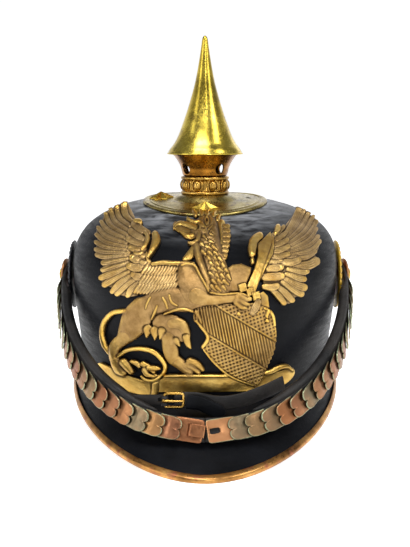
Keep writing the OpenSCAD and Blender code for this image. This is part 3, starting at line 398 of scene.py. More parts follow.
def makeLacquer(name, dark="#08090b", pale="#141519", crackle=0.3, roughLow=0.34, roughHigh=0.5, level=0.06,
                coat=0.03, paintedSheen=None, underLayer=None):
    # lacquered cow hide: black boiled leather under an aged coat, so nearly black with a soft sheen; pores, fine
    # cracks, rubbed places, and fine lines running round where the hide was stretched over the block
    material, tree, coords = newMaterial(name)
    cloud = addNode(tree, "TexNoise", {"Vector": coords, "Scale": 38.0, "Detail": 6.0})
    pores = addNode(tree, "TexNoise", {"Vector": coords, "Scale": 900.0, "Detail": 3.0})  # 1 mm grain
    drawn = addNode(tree, "Mapping", {"Vector": coords, "Scale": (1.0, 1.0, 7.0)})
    streaks = addNode(tree, "TexNoise", {"Vector": drawn, "Scale": 70.0, "Detail": 5.0, "Distortion": 0.6})
    warp = addNode(tree, "MixRGB", {0: 0.08, 1: coords, 2: cloud.outputs["Color"]})
    cracks = addNode(tree, "TexVoronoi", {"Vector": warp, "Scale": 130.0}, feature="DISTANCE_TO_EDGE")
    crackLine = addNode(tree, "ValToRGB", {0: cracks}, [(0.0, 0.0), (0.05, 1.0)])
    out = addNode(tree, "ValToRGB", {0: cloud}, [(0.35, dark), (0.7, pale)])
    if paintedSheen:
        # painted sheen: a pale highlight, with some worn haze, painted round the crown and broken up by the drawn
        # lines
        near = addNode(tree, "Attribute", attribute_name="paintedSheen").outputs["Fac"]
        broken = addNode(tree, "MapRange", {0: streaks, 1: 0.36, 2: 0.66, 3: 0.05, 4: 0.9})
        paintedSheenMask = addNode(tree, "Math", {0: near, 1: broken}, operation="MULTIPLY")
        out = addNode(tree, "MixRGB", {0: paintedSheenMask, 1: out, 2: paintedSheen})
    if underLayer:
        under = addNode(tree, "Attribute", attribute_name="under").outputs["Fac"]
        out = addNode(tree, "MixRGB", {0: under, 1: out, 2: underLayer})
    rough = addNode(tree, "MapRange", {0: streaks, 1: 0.35, 2: 0.65, 3: roughLow, 4: roughHigh})
    bump = addNode(tree, "Bump", {"Height": crackLine, "Strength": crackle, "Distance": 0.00012})
    bump = addNode(tree, "Bump", {"Height": streaks, "Strength": 0.3, "Distance": 0.0003, "Normal": bump})
    bump = addNode(tree, "Bump", {"Height": pores, "Strength": 0.2, "Distance": 0.00012, "Normal": bump})
    return finished(material, {"Base Color": out, "Roughness": rough, "Normal": bump, "Specular IOR Level": level,
                               "Coat Weight": coat, "Coat Roughness": 0.15})


def makeMetal(name, colours, roughLow, roughHigh, scale=45.0, grain=0.12, spots=None, edge=None, tint=None,
              grooves=0.0):
    # worn brass or copper sheet: the metal's own colour, blotched tarnish, fine scratches; grooves are the
    # turner's lines, drawn 0.5 mm apart up the axis
    material, tree, coords = newMaterial(name)
    cloud = addNode(tree, "TexNoise", {"Vector": coords, "Scale": scale, "Detail": 7.0, "Roughness": 0.62})
    fine = addNode(tree, "TexNoise", {"Vector": coords, "Scale": 650.0, "Detail": 4.0})
    n = len(colours) - 1
    out = addNode(tree, "ValToRGB", {0: cloud}, [(0.32 + 0.38 * i / n, c) for i, c in enumerate(colours)])
    rough = addNode(tree, "MapRange", {0: fine, 1: 0.3, 2: 0.7, 3: roughLow, 4: roughHigh})
    if tint:
        value = addNode(tree, "Attribute", attribute_name="tint").outputs["Fac"]
        shades = addNode(tree, "ValToRGB", {0: value}, [(i / (len(tint) - 1), c) for i, c in enumerate(tint)])
        share = addNode(tree, "MapRange", {0: cloud, 1: 0.3, 2: 0.75, 3: 0.7, 4: 0.3})
        out = addNode(tree, "MixRGB", {0: share, 1: out, 2: shades})
    if spots:
        blotch = addNode(tree, "TexNoise", {"Vector": coords, "Scale": scale * 2.7, "Detail": 5.0})
        mask = addNode(tree, "ValToRGB", {0: blotch}, [(0.55, 0.0), (0.68, 1.0)])
        out = addNode(tree, "MixRGB", {0: mask, 1: out, 2: spots})
    if edge:
        rimShare = addNode(tree, "Attribute", attribute_name="edge").outputs["Fac"]
        ragged = addNode(tree, "Math", {0: rimShare, 1: cloud}, operation="MULTIPLY")
        mask = addNode(tree, "ValToRGB", {0: ragged}, [(0.25, 0.0), (0.5, 1.0)])
        out = addNode(tree, "MixRGB", {0: mask, 1: out, 2: edge})
    bump = addNode(tree, "Bump", {"Height": fine, "Strength": grain, "Distance": 0.0001})
    if grooves:
        lines = addNode(tree, "TexWave", {"Vector": coords, "Scale": 628.0, "Distortion": 0.8, "Detail": 3.0},
                        bands_direction="Z").outputs[1]
        bump = addNode(tree, "Bump", {"Height": lines, "Strength": grooves, "Distance": 0.00005, "Normal": bump})
    return finished(material, {"Base Color": out, "Metallic": 1.0, "Roughness": rough, "Normal": bump})


def makeRings(name, radii, colours):
    # lacquer paint on stamped tin, in rings about the side bolt: distance from the bolt's axis picks the colour
    material, tree, coords = newMaterial(name)
    split = addNode(tree, "SeparateXYZ", {0: coords}).outputs
    up = addNode(tree, "Math", {0: split["Z"], 1: 0.09}, operation="SUBTRACT")
    far = addNode(tree, "CombineXYZ", {"Y": split["Y"], "Z": up})
    length = addNode(tree, "VectorMath", {0: far}, operation="LENGTH").outputs["Value"]
    cloud = addNode(tree, "TexNoise", {"Vector": coords, "Scale": 160.0, "Detail": 5.0})
    out = colours[0]
    for radius, colour in zip(radii, colours[1:]):
        step = addNode(tree, "MapRange", {0: length, 1: radius - 0.0002, 2: radius + 0.0002})
        out = addNode(tree, "MixRGB", {0: step, 1: out, 2: colour})
    worn = addNode(tree, "ValToRGB", {0: cloud}, [(0.35, 0.55), (0.6, 1.0)])
    out = addNode(tree, "MixRGB", {0: 1.0, 1: out, 2: worn}, blend_type="MULTIPLY")
    bump = addNode(tree, "Bump", {"Height": cloud, "Strength": 0.2, "Distance": 0.0002})
    return finished(material, {"Base Color": out, "Metallic": 0.35, "Roughness": 0.35, "Normal": bump})


def makeCloth(name, dark, pale, thread):
    # woven silk: two crossing sets of threads, drawn coarser than the real 0.2 mm so that they show
    material, tree, coords = newMaterial(name)
    cloud = addNode(tree, "TexNoise", {"Vector": coords, "Scale": 60.0, "Detail": 5.0})
    across, along = (addNode(tree, "TexWave", {"Vector": coords, "Scale": thread, "Distortion": 1.5},
                             bands_direction=way).outputs[1] for way in ("Z", "DIAGONAL"))
    weave = addNode(tree, "Math", {0: across, 1: along}, operation="MULTIPLY")
    out = addNode(tree, "ValToRGB", {0: cloud}, [(0.3, dark), (0.7, pale)])
    bump = addNode(tree, "Bump", {"Height": weave, "Strength": 0.4, "Distance": 0.0001})
    return finished(material, {"Base Color": out, "Roughness": 0.5, "Normal": bump, "Sheen Weight": 0.4})


def makeHide(name, dark, pale):
    # bare vegetable-tanned leather: warm brown, pores and creases, dull
    material, tree, coords = newMaterial(name)
    cloud = addNode(tree, "TexNoise", {"Vector": coords, "Scale": 55.0, "Detail": 7.0})
    pores = addNode(tree, "TexVoronoi", {"Vector": coords, "Scale": 900.0})
    out = addNode(tree, "ValToRGB", {0: cloud}, [(0.3, dark), (0.7, pale)])
    bump = addNode(tree, "Bump", {"Height": cloud, "Strength": 0.3, "Distance": 0.0004})
    bump = addNode(tree, "Bump", {"Height": pores, "Strength": 0.3, "Distance": 0.0001, "Normal": bump})
    return finished(material, {"Base Color": out, "Roughness": 0.75, "Normal": bump})


def makeFrosted(name, dull, bright):
    # stamped brass frosted by acid: a matt brown gold, polished where it was burnished or rubbed, with shade
    # painted dark into its grooves, a little uneven all over in lumps of about 3 mm
    material, tree, coords = newMaterial(name)
    cloud = addNode(tree, "TexNoise", {"Vector": coords, "Scale": 110.0, "Detail": 9.0, "Roughness": 0.72})
    grain = addNode(tree, "TexNoise", {"Vector": coords, "Scale": 1400.0, "Detail": 2.0})
    lumps = addNode(tree, "TexNoise", {"Vector": coords, "Scale": 300.0, "Detail": 4.0})
    hollow, raised, polish = (addNode(tree, "Attribute", attribute_name=key).outputs["Fac"]
                              for key in ("hollow", "raised", "polish"))
    matt = addNode(tree, "ValToRGB", {0: cloud}, [(0.3, dull), (0.7, bright)])
    gold = addNode(tree, "ValToRGB", {0: cloud}, [(0.3, "#c8963a"), (0.7, "#e6c468")])
    rubbed = addNode(tree, "TexNoise", {"Vector": coords, "Scale": 24.0, "Detail": 3.0})
    rubbed = addNode(tree, "MapRange", {0: rubbed, 1: 0.45, 2: 0.62, 3: 0.15, 4: 0.6})
    shine = addNode(tree, "Math", {0: raised, 1: rubbed}, operation="MULTIPLY")
    shine = addNode(tree, "Math", {0: shine, 1: polish}, operation="ADD", use_clamp=True)
    out = addNode(tree, "MixRGB", {0: shine, 1: matt, 2: gold})
    # painted shade: the colour in the hollows is pulled towards dark brown
    dark = addNode(tree, "Math", {0: hollow, 1: 0.9}, operation="MULTIPLY", use_clamp=True)
    out = addNode(tree, "MixRGB", {0: dark, 1: out, 2: "#2c2014"})
    rough = addNode(tree, "MapRange", {0: shine, 1: 0.0, 2: 1.0, 3: 0.5, 4: 0.3})
    bump = addNode(tree, "Bump", {"Height": lumps, "Strength": 0.75, "Distance": 0.0006})
    bump = addNode(tree, "Bump", {"Height": grain, "Strength": 0.2, "Distance": 0.00008, "Normal": bump})
    return finished(material, {"Base Color": out, "Metallic": 1.0, "Roughness": rough, "Normal": bump})


materials = {
    # the skull's hide has a pale sheen painted into its colour round the crown
    "lacquer": makeLacquer("lacqueredHide", paintedSheen="#94969a", underLayer="#1d1712"),
    "strapLeather": makeLacquer("strapHide", "#0e0d0d", "#2b2724", 0.6, 0.4, 0.6, 0.25, 0.0),
    "spikeBrass": makeMetal("polishedBrass", ["#746424", "#c2a840", "#e6d160"], 0.16, 0.3, 30.0, 0.05,
                            spots="#84702e", grooves=0.3),
    "plateBrass": makeMetal("oliveBrass", ["#635932", "#9a884e", "#b8a96e"], 0.22, 0.42, 50.0, 0.15,
                            spots="#5e4628"),
    "brass": makeMetal("fittingBrass", ["#74602a", "#b8983e", "#d3b95e"], 0.2, 0.4, 80.0),
    "neckCopper": makeMetal("neckCopper", ["#553613", "#946322", "#b8853a"], 0.18, 0.34, 60.0, 0.08,
                            spots="#65411e", grooves=0.2),
    "pearlBronze": makeMetal("pearlBronze", ["#6a5024", "#a8823c", "#cfa95c"], 0.18, 0.36, 90.0, 0.1),
    "trimBronze": makeMetal("trimBronze", ["#6d4a28", "#ab7c44", "#cc9f60"], 0.25, 0.45, 60.0, 0.15,
                            spots="#9a6044"),
    "scaleCopper": makeMetal("scaleCopper", ["#553826", "#875e40", "#a97d58"], 0.28, 0.5, 70.0, 0.2,
                             edge="#8c9678", tint=["#8e5a42", "#a87046", "#70705a", "#967846", "#94614a"]),
    "steel": makeMetal("dullSteel", ["#6d6d6a", "#94948f"], 0.3, 0.5, 120.0, 0.15, spots="#6a5a4a"),
    "cockadeGold": makeRings("cockadeGoldPaint", [0.0098, 0.0146], ["#c9a446", "#a8322c", "#c8a032"]),
    "cockadeBlack": makeRings("cockadeBlackPaint", [0.0098, 0.0146], ["#a8322c", "#d8d4c8", "#1c1c20"]),
    "frostedBrass": makeFrosted("frostedBrass", "#63492c", "#a08055"),
    # painted light: a paler copy of the frosted brass for the wings, whose upturned faces catch more light
    "litWingBrass": makeFrosted("frostedBrassLitWings", "#7d6341", "#c2a478"),
    "silk": makeCloth("silkWeave", "#4c483a", "#787260", 700.0),
    "hide": makeHide("sweatbandHide", "#4a2f1c", "#8a6040"),
}
print("materials made")


def cutHoles(piece, cutters):
    # round holes cut out of a finished piece by closed cylinders
    for shape in cutters:
        points, groups = outward(shape)
        mesh = bpy.data.meshes.new("cutter")
        mesh.from_pydata((points * metre).tolist(), [], [face for group in groups for face in group.tolist()])
        cutter = bpy.data.objects.new("cutter", mesh)
        bpy.context.scene.collection.objects.link(cutter)
        cut = piece.modifiers.new("hole", "BOOLEAN")
        cut.object = cutter
        cut.operation = "DIFFERENCE"
        cut.solver = "EXACT"
        bpy.context.view_layer.update()
        done = bpy.data.meshes.new_from_object(piece.evaluated_get(bpy.context.evaluated_depsgraph_get()))
        piece.modifiers.clear()
        piece.data = done
        bpy.data.objects.remove(cutter)


def rod(start, end, radius, turns=40):
    # closed cylinder between two points
    ends = np.array([start, end], float)
    d = unit(ends[1] - ends[0])
    side = unit(np.cross(d, [0.3, 0.2, 1.0]))
    return sweepShape(carried(ends, roundSection(radius, radius, 2.0, turns), side, np.cross(d, side)))


shell = {"columns": 300, "outRows": 110, "inRows": 36, "firstRow": 0.004, "lastRow": 0.985, "sink": 0.02,
         "waveHeights": [0.09, 0.07, 0.05, 0.05, 0.04], "wavesRound": [3, 7, 5, 12, 2], "wavesUp": [4, 9, 17, 7, 26],
         "wavesFrom": 0.35, "paintedSheenFrom": 0.68, "proud": 0.1}


def makeSkull():
    # outer rows, then inner rows back down, carried round: a closed shell; faint ripples near the crown, each
    # a sin(k azimuth + m 6 t + phase)
    az, low, high = allRound(shell["columns"]), shell["firstRow"], shell["lastRow"]
    outerT, innerT = np.linspace(low, high, shell["outRows"]), np.linspace(high, low, shell["inRows"])
    waves = sum(a * np.sin(k * np.radians(az) + m * outerT * 6 + phase) for a, k, m, phase in
                zip(shell["waveHeights"], shell["wavesRound"], shell["wavesUp"], rng.uniform(0, 6, 5)))
    ripple = waves * soft((outerT - shell["wavesFrom"]) / 0.3) - shell["sink"]
    outer = skullOff(az, outerT, np.minimum(ripple, shell["proud"]))
    inner = skullOff(az, innerT, -skull["wall"] + np.zeros_like(az))
    edge = skullOff(az, np.array([0.0]), np.array([-0.5 * skull["wall"]]))
    rings = np.concatenate([edge, outer, inner], 1)
    under = np.concatenate([[0], 0 * outerT, 1 + 0 * innerT])
    # share of the pale sheen painted into the hide's colour near the crown
    paintedSheen = np.concatenate([[0], soft((outerT - shell["paintedSheenFrom"]) / 0.2), 0 * innerT])
    putMesh("skull_leather", [closedGrid(rings)], "lacquer", "skull",
            {"under": np.tile(under, len(az)), "paintedSheen": np.tile(paintedSheen, len(az))})


rim = {"reach": 149.0, "halfW": 91.0, "sideH": 23.0, "drop": 0.8, "wall": 2.4, "fit": 0.3, "gap": 0.4,
       "frontN": 1.78, "rearN": 2.05, "frontBow": 0.3, "rearBow": -4.0, "trimHalf": 2.05, "flat": 0.5,
       "trimIn": 1.35, "trimNose": 0.75, "lipX": -1.45, "lipZ": 1.7, "lipR": 0.35}


def rimR(az, n):
    # the rims' outline from above: a superellipse |x/w|^n + |y/l|^n = 1
    a = np.radians(az)
    return 1 / ((np.abs(np.cos(a)) / rim["halfW"]) ** n + (np.abs(np.sin(a)) / rim["reach"]) ** n) ** (1 / n)


def visorMid(az, t, front):
    # middle of the leather: straight from under the skull (0) to the rim (1) with a bow of sin(pi t), the rim
    # lowered towards the front as a power of its reach there
    n, bow = (rim["frontN"], rim["frontBow"]) if front else (rim["rearN"], rim["rearBow"])
    s = np.abs(np.sin(np.radians(az)))
    low = (rim["trimHalf"] if front else rim["wall"] / 2) - rim["flat"]
    rimZ = mix(rim["sideH"], low, (rimR(az, n) * s / rim["reach"]) ** rim["drop"])
    r0, z0 = skullR(az, skull["base"] + 0 * az) + rim["fit"], skull["base"] + rim["wall"] / 2
    return polar(az, mix(r0, rimR(az, n), t), mix(z0, rimZ, t) + bow * np.sin(np.pi * t) * s)


def makeBrim(front):
    # section from the root out over the top, round the edge and back underneath, carried from ear to ear
    az = ((180 if front else 0) + np.linspace(rim["gap"], 180 - rim["gap"], 220))[:, None]
    t = np.concatenate([np.linspace(0, 0.97, 30), [0.985, 0.994, 0.999, 1.0]])
    half = rim["wall"] / 2 * np.concatenate([np.ones(30), [0.93, 0.78, 0.5, 0.0]])[:, None] * [0, 0, 1]
    mid = visorMid(az, t, front)
    rings = np.concatenate([mid + half, mid[:, -2::-1] - half[-2::-1]], 1)
    rings[..., 2] = np.maximum(rings[..., 2], 0)
    under = np.repeat([0, 1], [len(t), len(t) - 1])
    name, node = ("visor_leather", "front_visor") if front else ("guard_leather", "neck_guard")
    putMesh(name, [sweepShape(rings)], "lacquer", node, {"under": np.tile(under, len(az))})


def makeTrim():
    # folded channel over the visor's edge: its section is set square to the leather at each azimuth
    az = (180 + np.linspace(rim["gap"], 180 - rim["gap"], 260))[:, None]
    p, q = visorMid(az, np.array([1.0]), True), visorMid(az, np.array([0.99]), True)
    along = unit(p - q)
    up = unit(np.cross(np.cross(along, [0, 0, 1.0]), along))
    nose, outside = rim["trimNose"], rim["trimHalf"]
    a, b = np.radians(np.linspace(-90, 90, 13)), np.radians(np.linspace(90, 270, 5))
    edge = np.stack([nose + outside * np.cos(a), outside * np.sin(a) * (1 + 0.04 * np.cos(a))], -1)
    lip = np.stack([rim["lipX"] + rim["lipR"] * np.cos(b), rim["lipZ"] + rim["lipR"] * np.sin(b)], -1)
    section = np.concatenate([[[nose, rim["trimIn"]], [nose, -rim["trimIn"]]], lip * [1, -1], edge, lip])
    rings = carried(p[:, 0], section, along[:, 0], up[:, 0])
    rings[..., 2] = np.maximum(rings[..., 2], 0)
    putMesh("visor_trim_metal", [sweepShape(rings)], "trimBronze", "visor_trim")


crown = {"baseR": 43.2, "metal": 1.1, "footR": 15.6, "footZ": 146.6, "bead": 0.9, "starR": 30.24, "ringH": 12.6,
         "pearlW": 5.4, "pearls": 9, "neckH": 27.1, "neckTopR": 22.1, "neckMetal": 1.2, "ventD": 7.2,
         "ventRise": 17.6, "starW": 17.0, "starH": 4.4, "spikeH": 79.5, "spikeR": 26.3, "spikeZ": 174.0,
         "tubeR": 14.2, "fit": 0.3, "studR": 1.5, "holeR": 1.75, "beadHalf": 1.7, "dish": 0.3,
         "grooves": [(0.3, 6.0, 0.8), (-0.35, 4.2, 0.45)],  # height, place in from the rim, half width
         "starRows": [(0.96, -1.2), (1, 0), (0.97, 0.35)], "starOver": 0.35, "vents": (38, 128, 218, 308),
         "neckShare": [[0.93, 0], [0.985, 0.03], [1.0, 0.08], [1.03, 0.2], [1.07, 0.38], [1.16, 0.6], [1.25, 0.76],
                       [1.36, 0.93]],
         "spikeShare": [[0.975, 0.016], [0.92, 0.048], [0.806, 0.098], [0.7, 0.165], [0.601, 0.249], [0.445, 0.397],
                        [0.27, 0.597], [0.167, 0.765], [0.098, 0.91], [0.075, 0.965], [0.055, 0.985], [0.03, 0.996]]}


def makeBasePlate():
    # domed plate that follows the crown, with a rolled bead at its rim, a groove, and a dish that rises to the foot
    az = allRound(240)
    footR, baseR, metal = crown["footR"], crown["baseR"], crown["metal"]
    lastBit = np.sin(np.linspace(0.05, 1, 26) * np.pi / 2)
    r = np.concatenate([np.linspace(footR - 1.6, baseR - 5, 46), baseR - 5 + 5 * lastBit])
    bead = crown["bead"] * rounded(np.abs(r - baseR + crown["beadHalf"]) / crown["beadHalf"])
    groove = sum(high * bell(r, baseR - place, width) for high, place, width in crown["grooves"])
    dishEnd = mix(footR, baseR, crown["dish"])
    share = soft((dishEnd - r) / (dishEnd - footR))
    foot = domeZ(az, r) + crown["fit"]
    top = mix(foot + metal + groove + bead, crown["footZ"], share)
    low = np.minimum(np.where(r > dishEnd, foot, mix(foot, crown["footZ"] - metal, share)), top - 0.1)
    rings = np.concatenate([polar(az, r, top), polar(az, r, low)[:, ::-1]], 1)
    plate = putMesh("crown_plate", [closedGrid(rings)], "plateBrass", "base_plate")
    hole = skullOff(0.0, domeRow(0.0, crown["starR"]), np.array([-2.0, 6.0]))
    cutHoles(plate, [rod(*hole, crown["holeR"])])


def makeStars():
    # six sharp points about a raised apex: each facet runs from the apex to one edge of the outline
    shapes = []
    reach = crown["starW"] / 2 * np.where(np.arange(12) % 2 == 0, 1, 0.5)
    rows = crown["starRows"]
    rings = np.stack([polar(30 * np.arange(12), reach * share, z) for share, z in rows])
    star = cappedGrid(rings, [0, 0, rows[0][1]], [0, 0, crown["starH"]])
    for azimuth in (-90.0, 90.0, 180.0):
        t = domeRow(azimuth, crown["starR"])
        z = rowNormal(azimuth, t)
        x = unit(np.cross([0, 1.0, 0.2], z))
        origin = skullOff(azimuth, t, crown["fit"] + crown["metal"] + crown["starOver"])
        shapes += [placed(star, origin, [x, np.cross(z, x), z]),
                   rod(*skullOff(azimuth, t, np.array([-5.0, 1.0])), crown["studR"], 20)]
    putMesh("star_studs_brass", shapes, "brass", "star_studs", flat=True)


def makeNeck():
    # turned tube that flares to a thin lip under the spike, with four round vents
    start = crown["footZ"] + crown["ringH"] + 0.3
    size = [crown["footR"], crown["footZ"] + crown["neckH"] - start]
    flare = smoothLine(crown["neckShare"] + [[crown["neckTopR"] / crown["footR"], 1.0]], 60) * size
    outer = np.vstack([[[crown["tubeR"], crown["footZ"] - 0.6], [crown["tubeR"], start - 0.4]],
                       flare + [0, start]])
    shape = turnShape(np.vstack([outer, outer[::-1] - [crown["neckMetal"], 0]]), 128)
    neck = putMesh("spike_neck_copper", [shape], "neckCopper", "spike_neck")
    z = crown["footZ"] + crown["ventRise"]
    cutHoles(neck, [rod(*polar(turn - 90, np.array([8.0, 24.0]), z), crown["ventD"] / 2)
                    for turn in crown["vents"]])


def makePearlRing():
    # two rolled collars, and oval pearls in oval settings with a dart between each pair
    footR, footZ, h, tube = crown["footR"], crown["footZ"], crown["ringH"], crown["tubeR"] + 0.15
    bead, waist = h / 10, mix(tube, footR, 0.55)
    a = np.radians(np.linspace(-90, 90, 9))
    lowBead = np.stack([footR + bead * np.cos(a) * 0.9, footZ + bead + bead * np.sin(a)], -1)
    profile = np.vstack([[[tube, footZ]], lowBead, [[waist, footZ + 2.6 * bead], [waist, footZ + h - 2.6 * bead]],
                         lowBead + [0, h - 2 * bead], [[tube, footZ + h]]])
    shapes = [turnShape(profile, 144)]
    for k in range(crown["pearls"] * 2):
        w, height, deep = (crown["pearlW"] / 2, 0.305 * h, 1) if k % 2 == 0 else (0.75, 0.3 * h, 0.7)
        azimuth = -70 + 180 * k / crown["pearls"]
        out, side = polar(azimuth, 1.0, 0.0), polar(azimuth + 90, 1.0, 0.0)
        axes, middle = [out, side, [0, 0, 1.0]], [0, 0, footZ + h / 2]
        lat = np.radians(np.linspace(-90, 90, 15))
        outline = np.stack([w * np.cos(lat), height * np.sin(lat)], -1)
        outline[[0, -1], 0] = 0
        points, faces = turnShape(outline, 28)
        shapes.append(placed((points * [deep, 1, 1], faces), out * (footR - 0.55) + middle, axes))
        if deep == 1:
            t = np.linspace(0, 2 * np.pi, 40, endpoint=False)
            lane = np.stack([0 * t, (w + 1.15) * np.cos(t), (height + 0.7) * np.sin(t)], -1)
            away = np.cross(unit(np.roll(lane, -1, 0) - np.roll(lane, 1, 0)), [1.0, 0, 0])
            loop = sweepShape(carried(lane, roundSection(0.5, 0.5, 2.0, 10), away, np.array([1.0, 0, 0])), loop=True)
            shapes.append(placed(loop, out * (footR - 0.5) + middle, axes))
    putMesh("pearl_ring_bronze", shapes, "pearlBronze", "pearl_ring")


def makeSpike():
    # turned point: a thin rolled lip, a cove, and a long sweep to a small blunt tip; closed below by its floor
    r, h = crown["spikeR"], crown["spikeH"]
    lip = [[0, 2.4], [r - 3.9, 2.4], [r - 2.9, 0.05], [r - 0.5, 0.0], [r - 0.1, 0.2], [r, 0.55], [r - 0.1, 0.9]]
    profile = np.vstack([lip, smoothLine(crown["spikeShare"], 120) * [r, h], [[0, h]]]) + [0, crown["spikeZ"]]
    putMesh("spike_brass", [turnShape(profile, 144)], "spikeBrass", "spike", body="spike")


strap = {"boltZ": 90.0, "reach": 126.5, "frontZ": 21.3479, "halfW": 98.0, "w": 14.0, "wall": 2.6, "round": 2.15,
         "lean": 33.0, "scaleW": 13.3, "metal": 0.6, "scales": 17, "rosetteD": 22.0, "hookL": 21.0, "endL": 5.5,
         "beadThin": 1.1, "beadThick": 3.3, "beadFrom": 9.0, "beadTo": 30.0}
fullReach = math.hypot(strap["reach"], strap["boltZ"] - strap["frontZ"])
slope = math.atan2(strap["boltZ"] - strap["frontZ"], strap["reach"])
strapEnd = strap["w"] * 0.73  # how far the strap runs past the bolt
onLeather = strap["wall"] / 2 + 0.15  # where the metal lies on the strap


def strapX(rho):
    # half width at a distance along the strap's slope: a superellipse, drawn in a little at the bolt
    inner = np.maximum(1 - (np.maximum(0, rho) / fullReach) ** strap["round"], 0)
    return strap["halfW"] * inner ** (1 / strap["round"]) - 1.4 * np.maximum(0, 1 - rho / 26) ** 2


pathRho = np.concatenate([-strapEnd * (1 - np.arange(4) / 4),
                          fullReach * np.sin(np.radians(90 * np.arange(61) / 60)) ** (2 / strap["round"])])
pathX = strapX(pathRho)
pathL = np.concatenate([[0], np.cumsum(np.hypot(np.diff(pathX), np.diff(pathRho)))])
strapL = pathL[-1]


def strapMid(l):
    # point at a length along the strap, read off its path, which falls by the slope as it comes forward
    rho = np.interp(l, pathL, pathRho)
    return np.stack([np.interp(l, pathL, pathX), -rho * math.cos(slope), strap["boltZ"] - rho * math.sin(slope)], -1)


def strapFrame(l):
    # along the strap, outwards from its face, and down across it; it leans back at the front
    l = np.asarray(l, float)
    t = unit(strapMid(np.minimum(strapL, l + 2)) - strapMid(np.maximum(0, l - 2)))
    t = np.where((l > strapL - 2)[..., None], np.array([-1.0, 0, 0]), t)
    flat = unit(np.stack([-t[..., 1], t[..., 0], 0 * t[..., 0]], -1))
    down = np.cross(flat, t)
    lean = np.radians(strap["lean"] * (l / strapL) ** 2)[..., None]
    return t, flat * np.cos(lean) - down * np.sin(lean), down * np.cos(lean) + flat * np.sin(lean)


def onStrap(shape, l, off, tilt):
    # x along the strap, y down across it, z outwards, tipped up by tilt degrees
    t, out, down = strapFrame(l)
    c, s = math.cos(math.radians(tilt)), math.sin(math.radians(tilt))
    return placed(shape, strapMid(l) + out * off, [c * t + s * out, down, c * out - s * t])


def putPair(name, shapes, finish, layers):
    # the piece of the viewer's right side and its mirror image; the name holds {} for the side
    for k, side in enumerate(("right", "left")):
        putMesh(name.format(side), [mirrored(s) if k else s for s in shapes], finish,
                name.rsplit("_", 1)[0].format(side), layers[k], "chinscales")


def makeStraps():
    # leather strip with rounded edges along the path, its ends rounded off
    l = np.concatenate([np.linspace(0.02, strap["endL"], 14), np.linspace(6.5, strapL - 0.15, 170)])
    half = strap["w"] / 2 * rounded(1 - l / strap["endL"], 0.02)
    _, out, down = strapFrame(l)
    strip = carried(strapMid(l), roundSection(1.0, strap["wall"] / 2, 5.0, 24), down, out, half)
    # its upper edge is rolled: a bead along it that thins out before the buckle
    thin, first, last = strap["beadThin"], strap["beadFrom"], strapL - strap["beadTo"]
    l = np.linspace(first, last, 150)
    _, out, down = strapFrame(l)
    ends = np.clip(np.minimum((l - first) / 8, (last - l) / 30), 0.004, 1)
    bead = mix(thin, strap["beadThick"], soft((l - 26) / 18)) * np.sqrt(ends)
    middle = strapMid(l) - down * (strap["w"] / 2 + 0.6) - out * np.maximum(bead - thin, 0)[:, None]
    rolled = carried(middle, roundSection(1.0, 1.0, 2.0, 16), out, down, bead, bead)
    putPair("strap_{}_leather", [sweepShape(strip), sweepShape(rolled)], "strapLeather",
            [None, None])


scaleShape = {
    "outline": [[0, -0.5], [0.62, -0.5], [0.86, -0.44], [0.98, -0.3], [1, -0.16], [0.95, -0.05], [0.84, 0],
                [0.95, 0.05], [1, 0.16], [0.98, 0.3], [0.86, 0.44], [0.62, 0.5], [0, 0.5]],
    "top": [(0.12, 0.6), (0.3, 0.6), (0.5, 0.6), (0.68, 0.6), (0.8, 0.6), (0.88, 0.6), (0.93, 0.6), (0.965, 0.58),
            (0.99, 0.48), (1.0, 0.3)],
    "back": [(0.99, 0.08), (0.95, 0.0), (0.6, 0.0), (0.2, 0.0)],
    "tints": [[0.15, 0.3, 0.05, 0.55, 0.2, 0.75, 0.0, 0.4, 0.1, 0.9, 0.3, 0.5, 0.95, 0.2, 0.45, 0.6, 0.5],
              [0.5, 0.1, 0.8, 0.25, 0.0, 0.45, 0.9, 0.2, 0.05, 0.35, 0.6, 0.1, 0.95, 0.3, 0.5, 0.8, 0.98]],
    "overlap": 1.42, "swell": 0.55, "edgeSwell": 0.22,
}


def makeScales():
    # pressed lobed scales: each is a swelling between its middle and its outline, tipped over the next one's root
    start = strapEnd + strap["rosetteD"] / 2 + 0.15
    pitch = (strapL - strap["hookL"] * 0.8 - start) / strap["scales"]
    length = pitch * scaleShape["overlap"]
    tilt = math.degrees(math.atan((strap["metal"] + 0.15) / pitch)) + 1
    corners = np.array(scaleShape["outline"]) * [length, strap["scaleW"]]
    lobes, root = smoothLine(corners[1:-1], 66), np.linspace(corners[-1], corners[0], 12)[1:-1]
    outline = np.vstack([np.linspace(corners[0], corners[1], 10)[:-1], lobes,
                         np.linspace(corners[-2], corners[-1], 10)[1:], root])
    top, back, n = scaleShape["top"], scaleShape["back"], len(outline)
    points, faces = discShape(outline, top, back, np.array([0.5 * length, 0.0]))
    share = np.concatenate([np.repeat([s for s, _ in top + back], n), [0, 0]])
    lift = np.concatenate([np.ones(len(top) * n), np.full(len(back) * n, 0.6), [1, 0.6]])
    clear = soft((points[:, 0] / length - 0.3) / 0.25)
    swell = (scaleShape["swell"] * (1 - share ** 3) + scaleShape["edgeSwell"] * bell(share, 0.93, 0.04)) * clear
    points[:, 2] += swell * lift
    edge = np.clip((share - 0.7) / 0.3, 0, 1) ** 2
    shapes = [onStrap((points, faces), start + i * pitch, onLeather, tilt) for i in range(strap["scales"])]
    layers = [{"tint": np.repeat(tint, len(points)), "edge": np.tile(edge, len(tint))}
              for tint in scaleShape["tints"]]
    putPair("scales_{}_metal", shapes, "scaleCopper", layers)


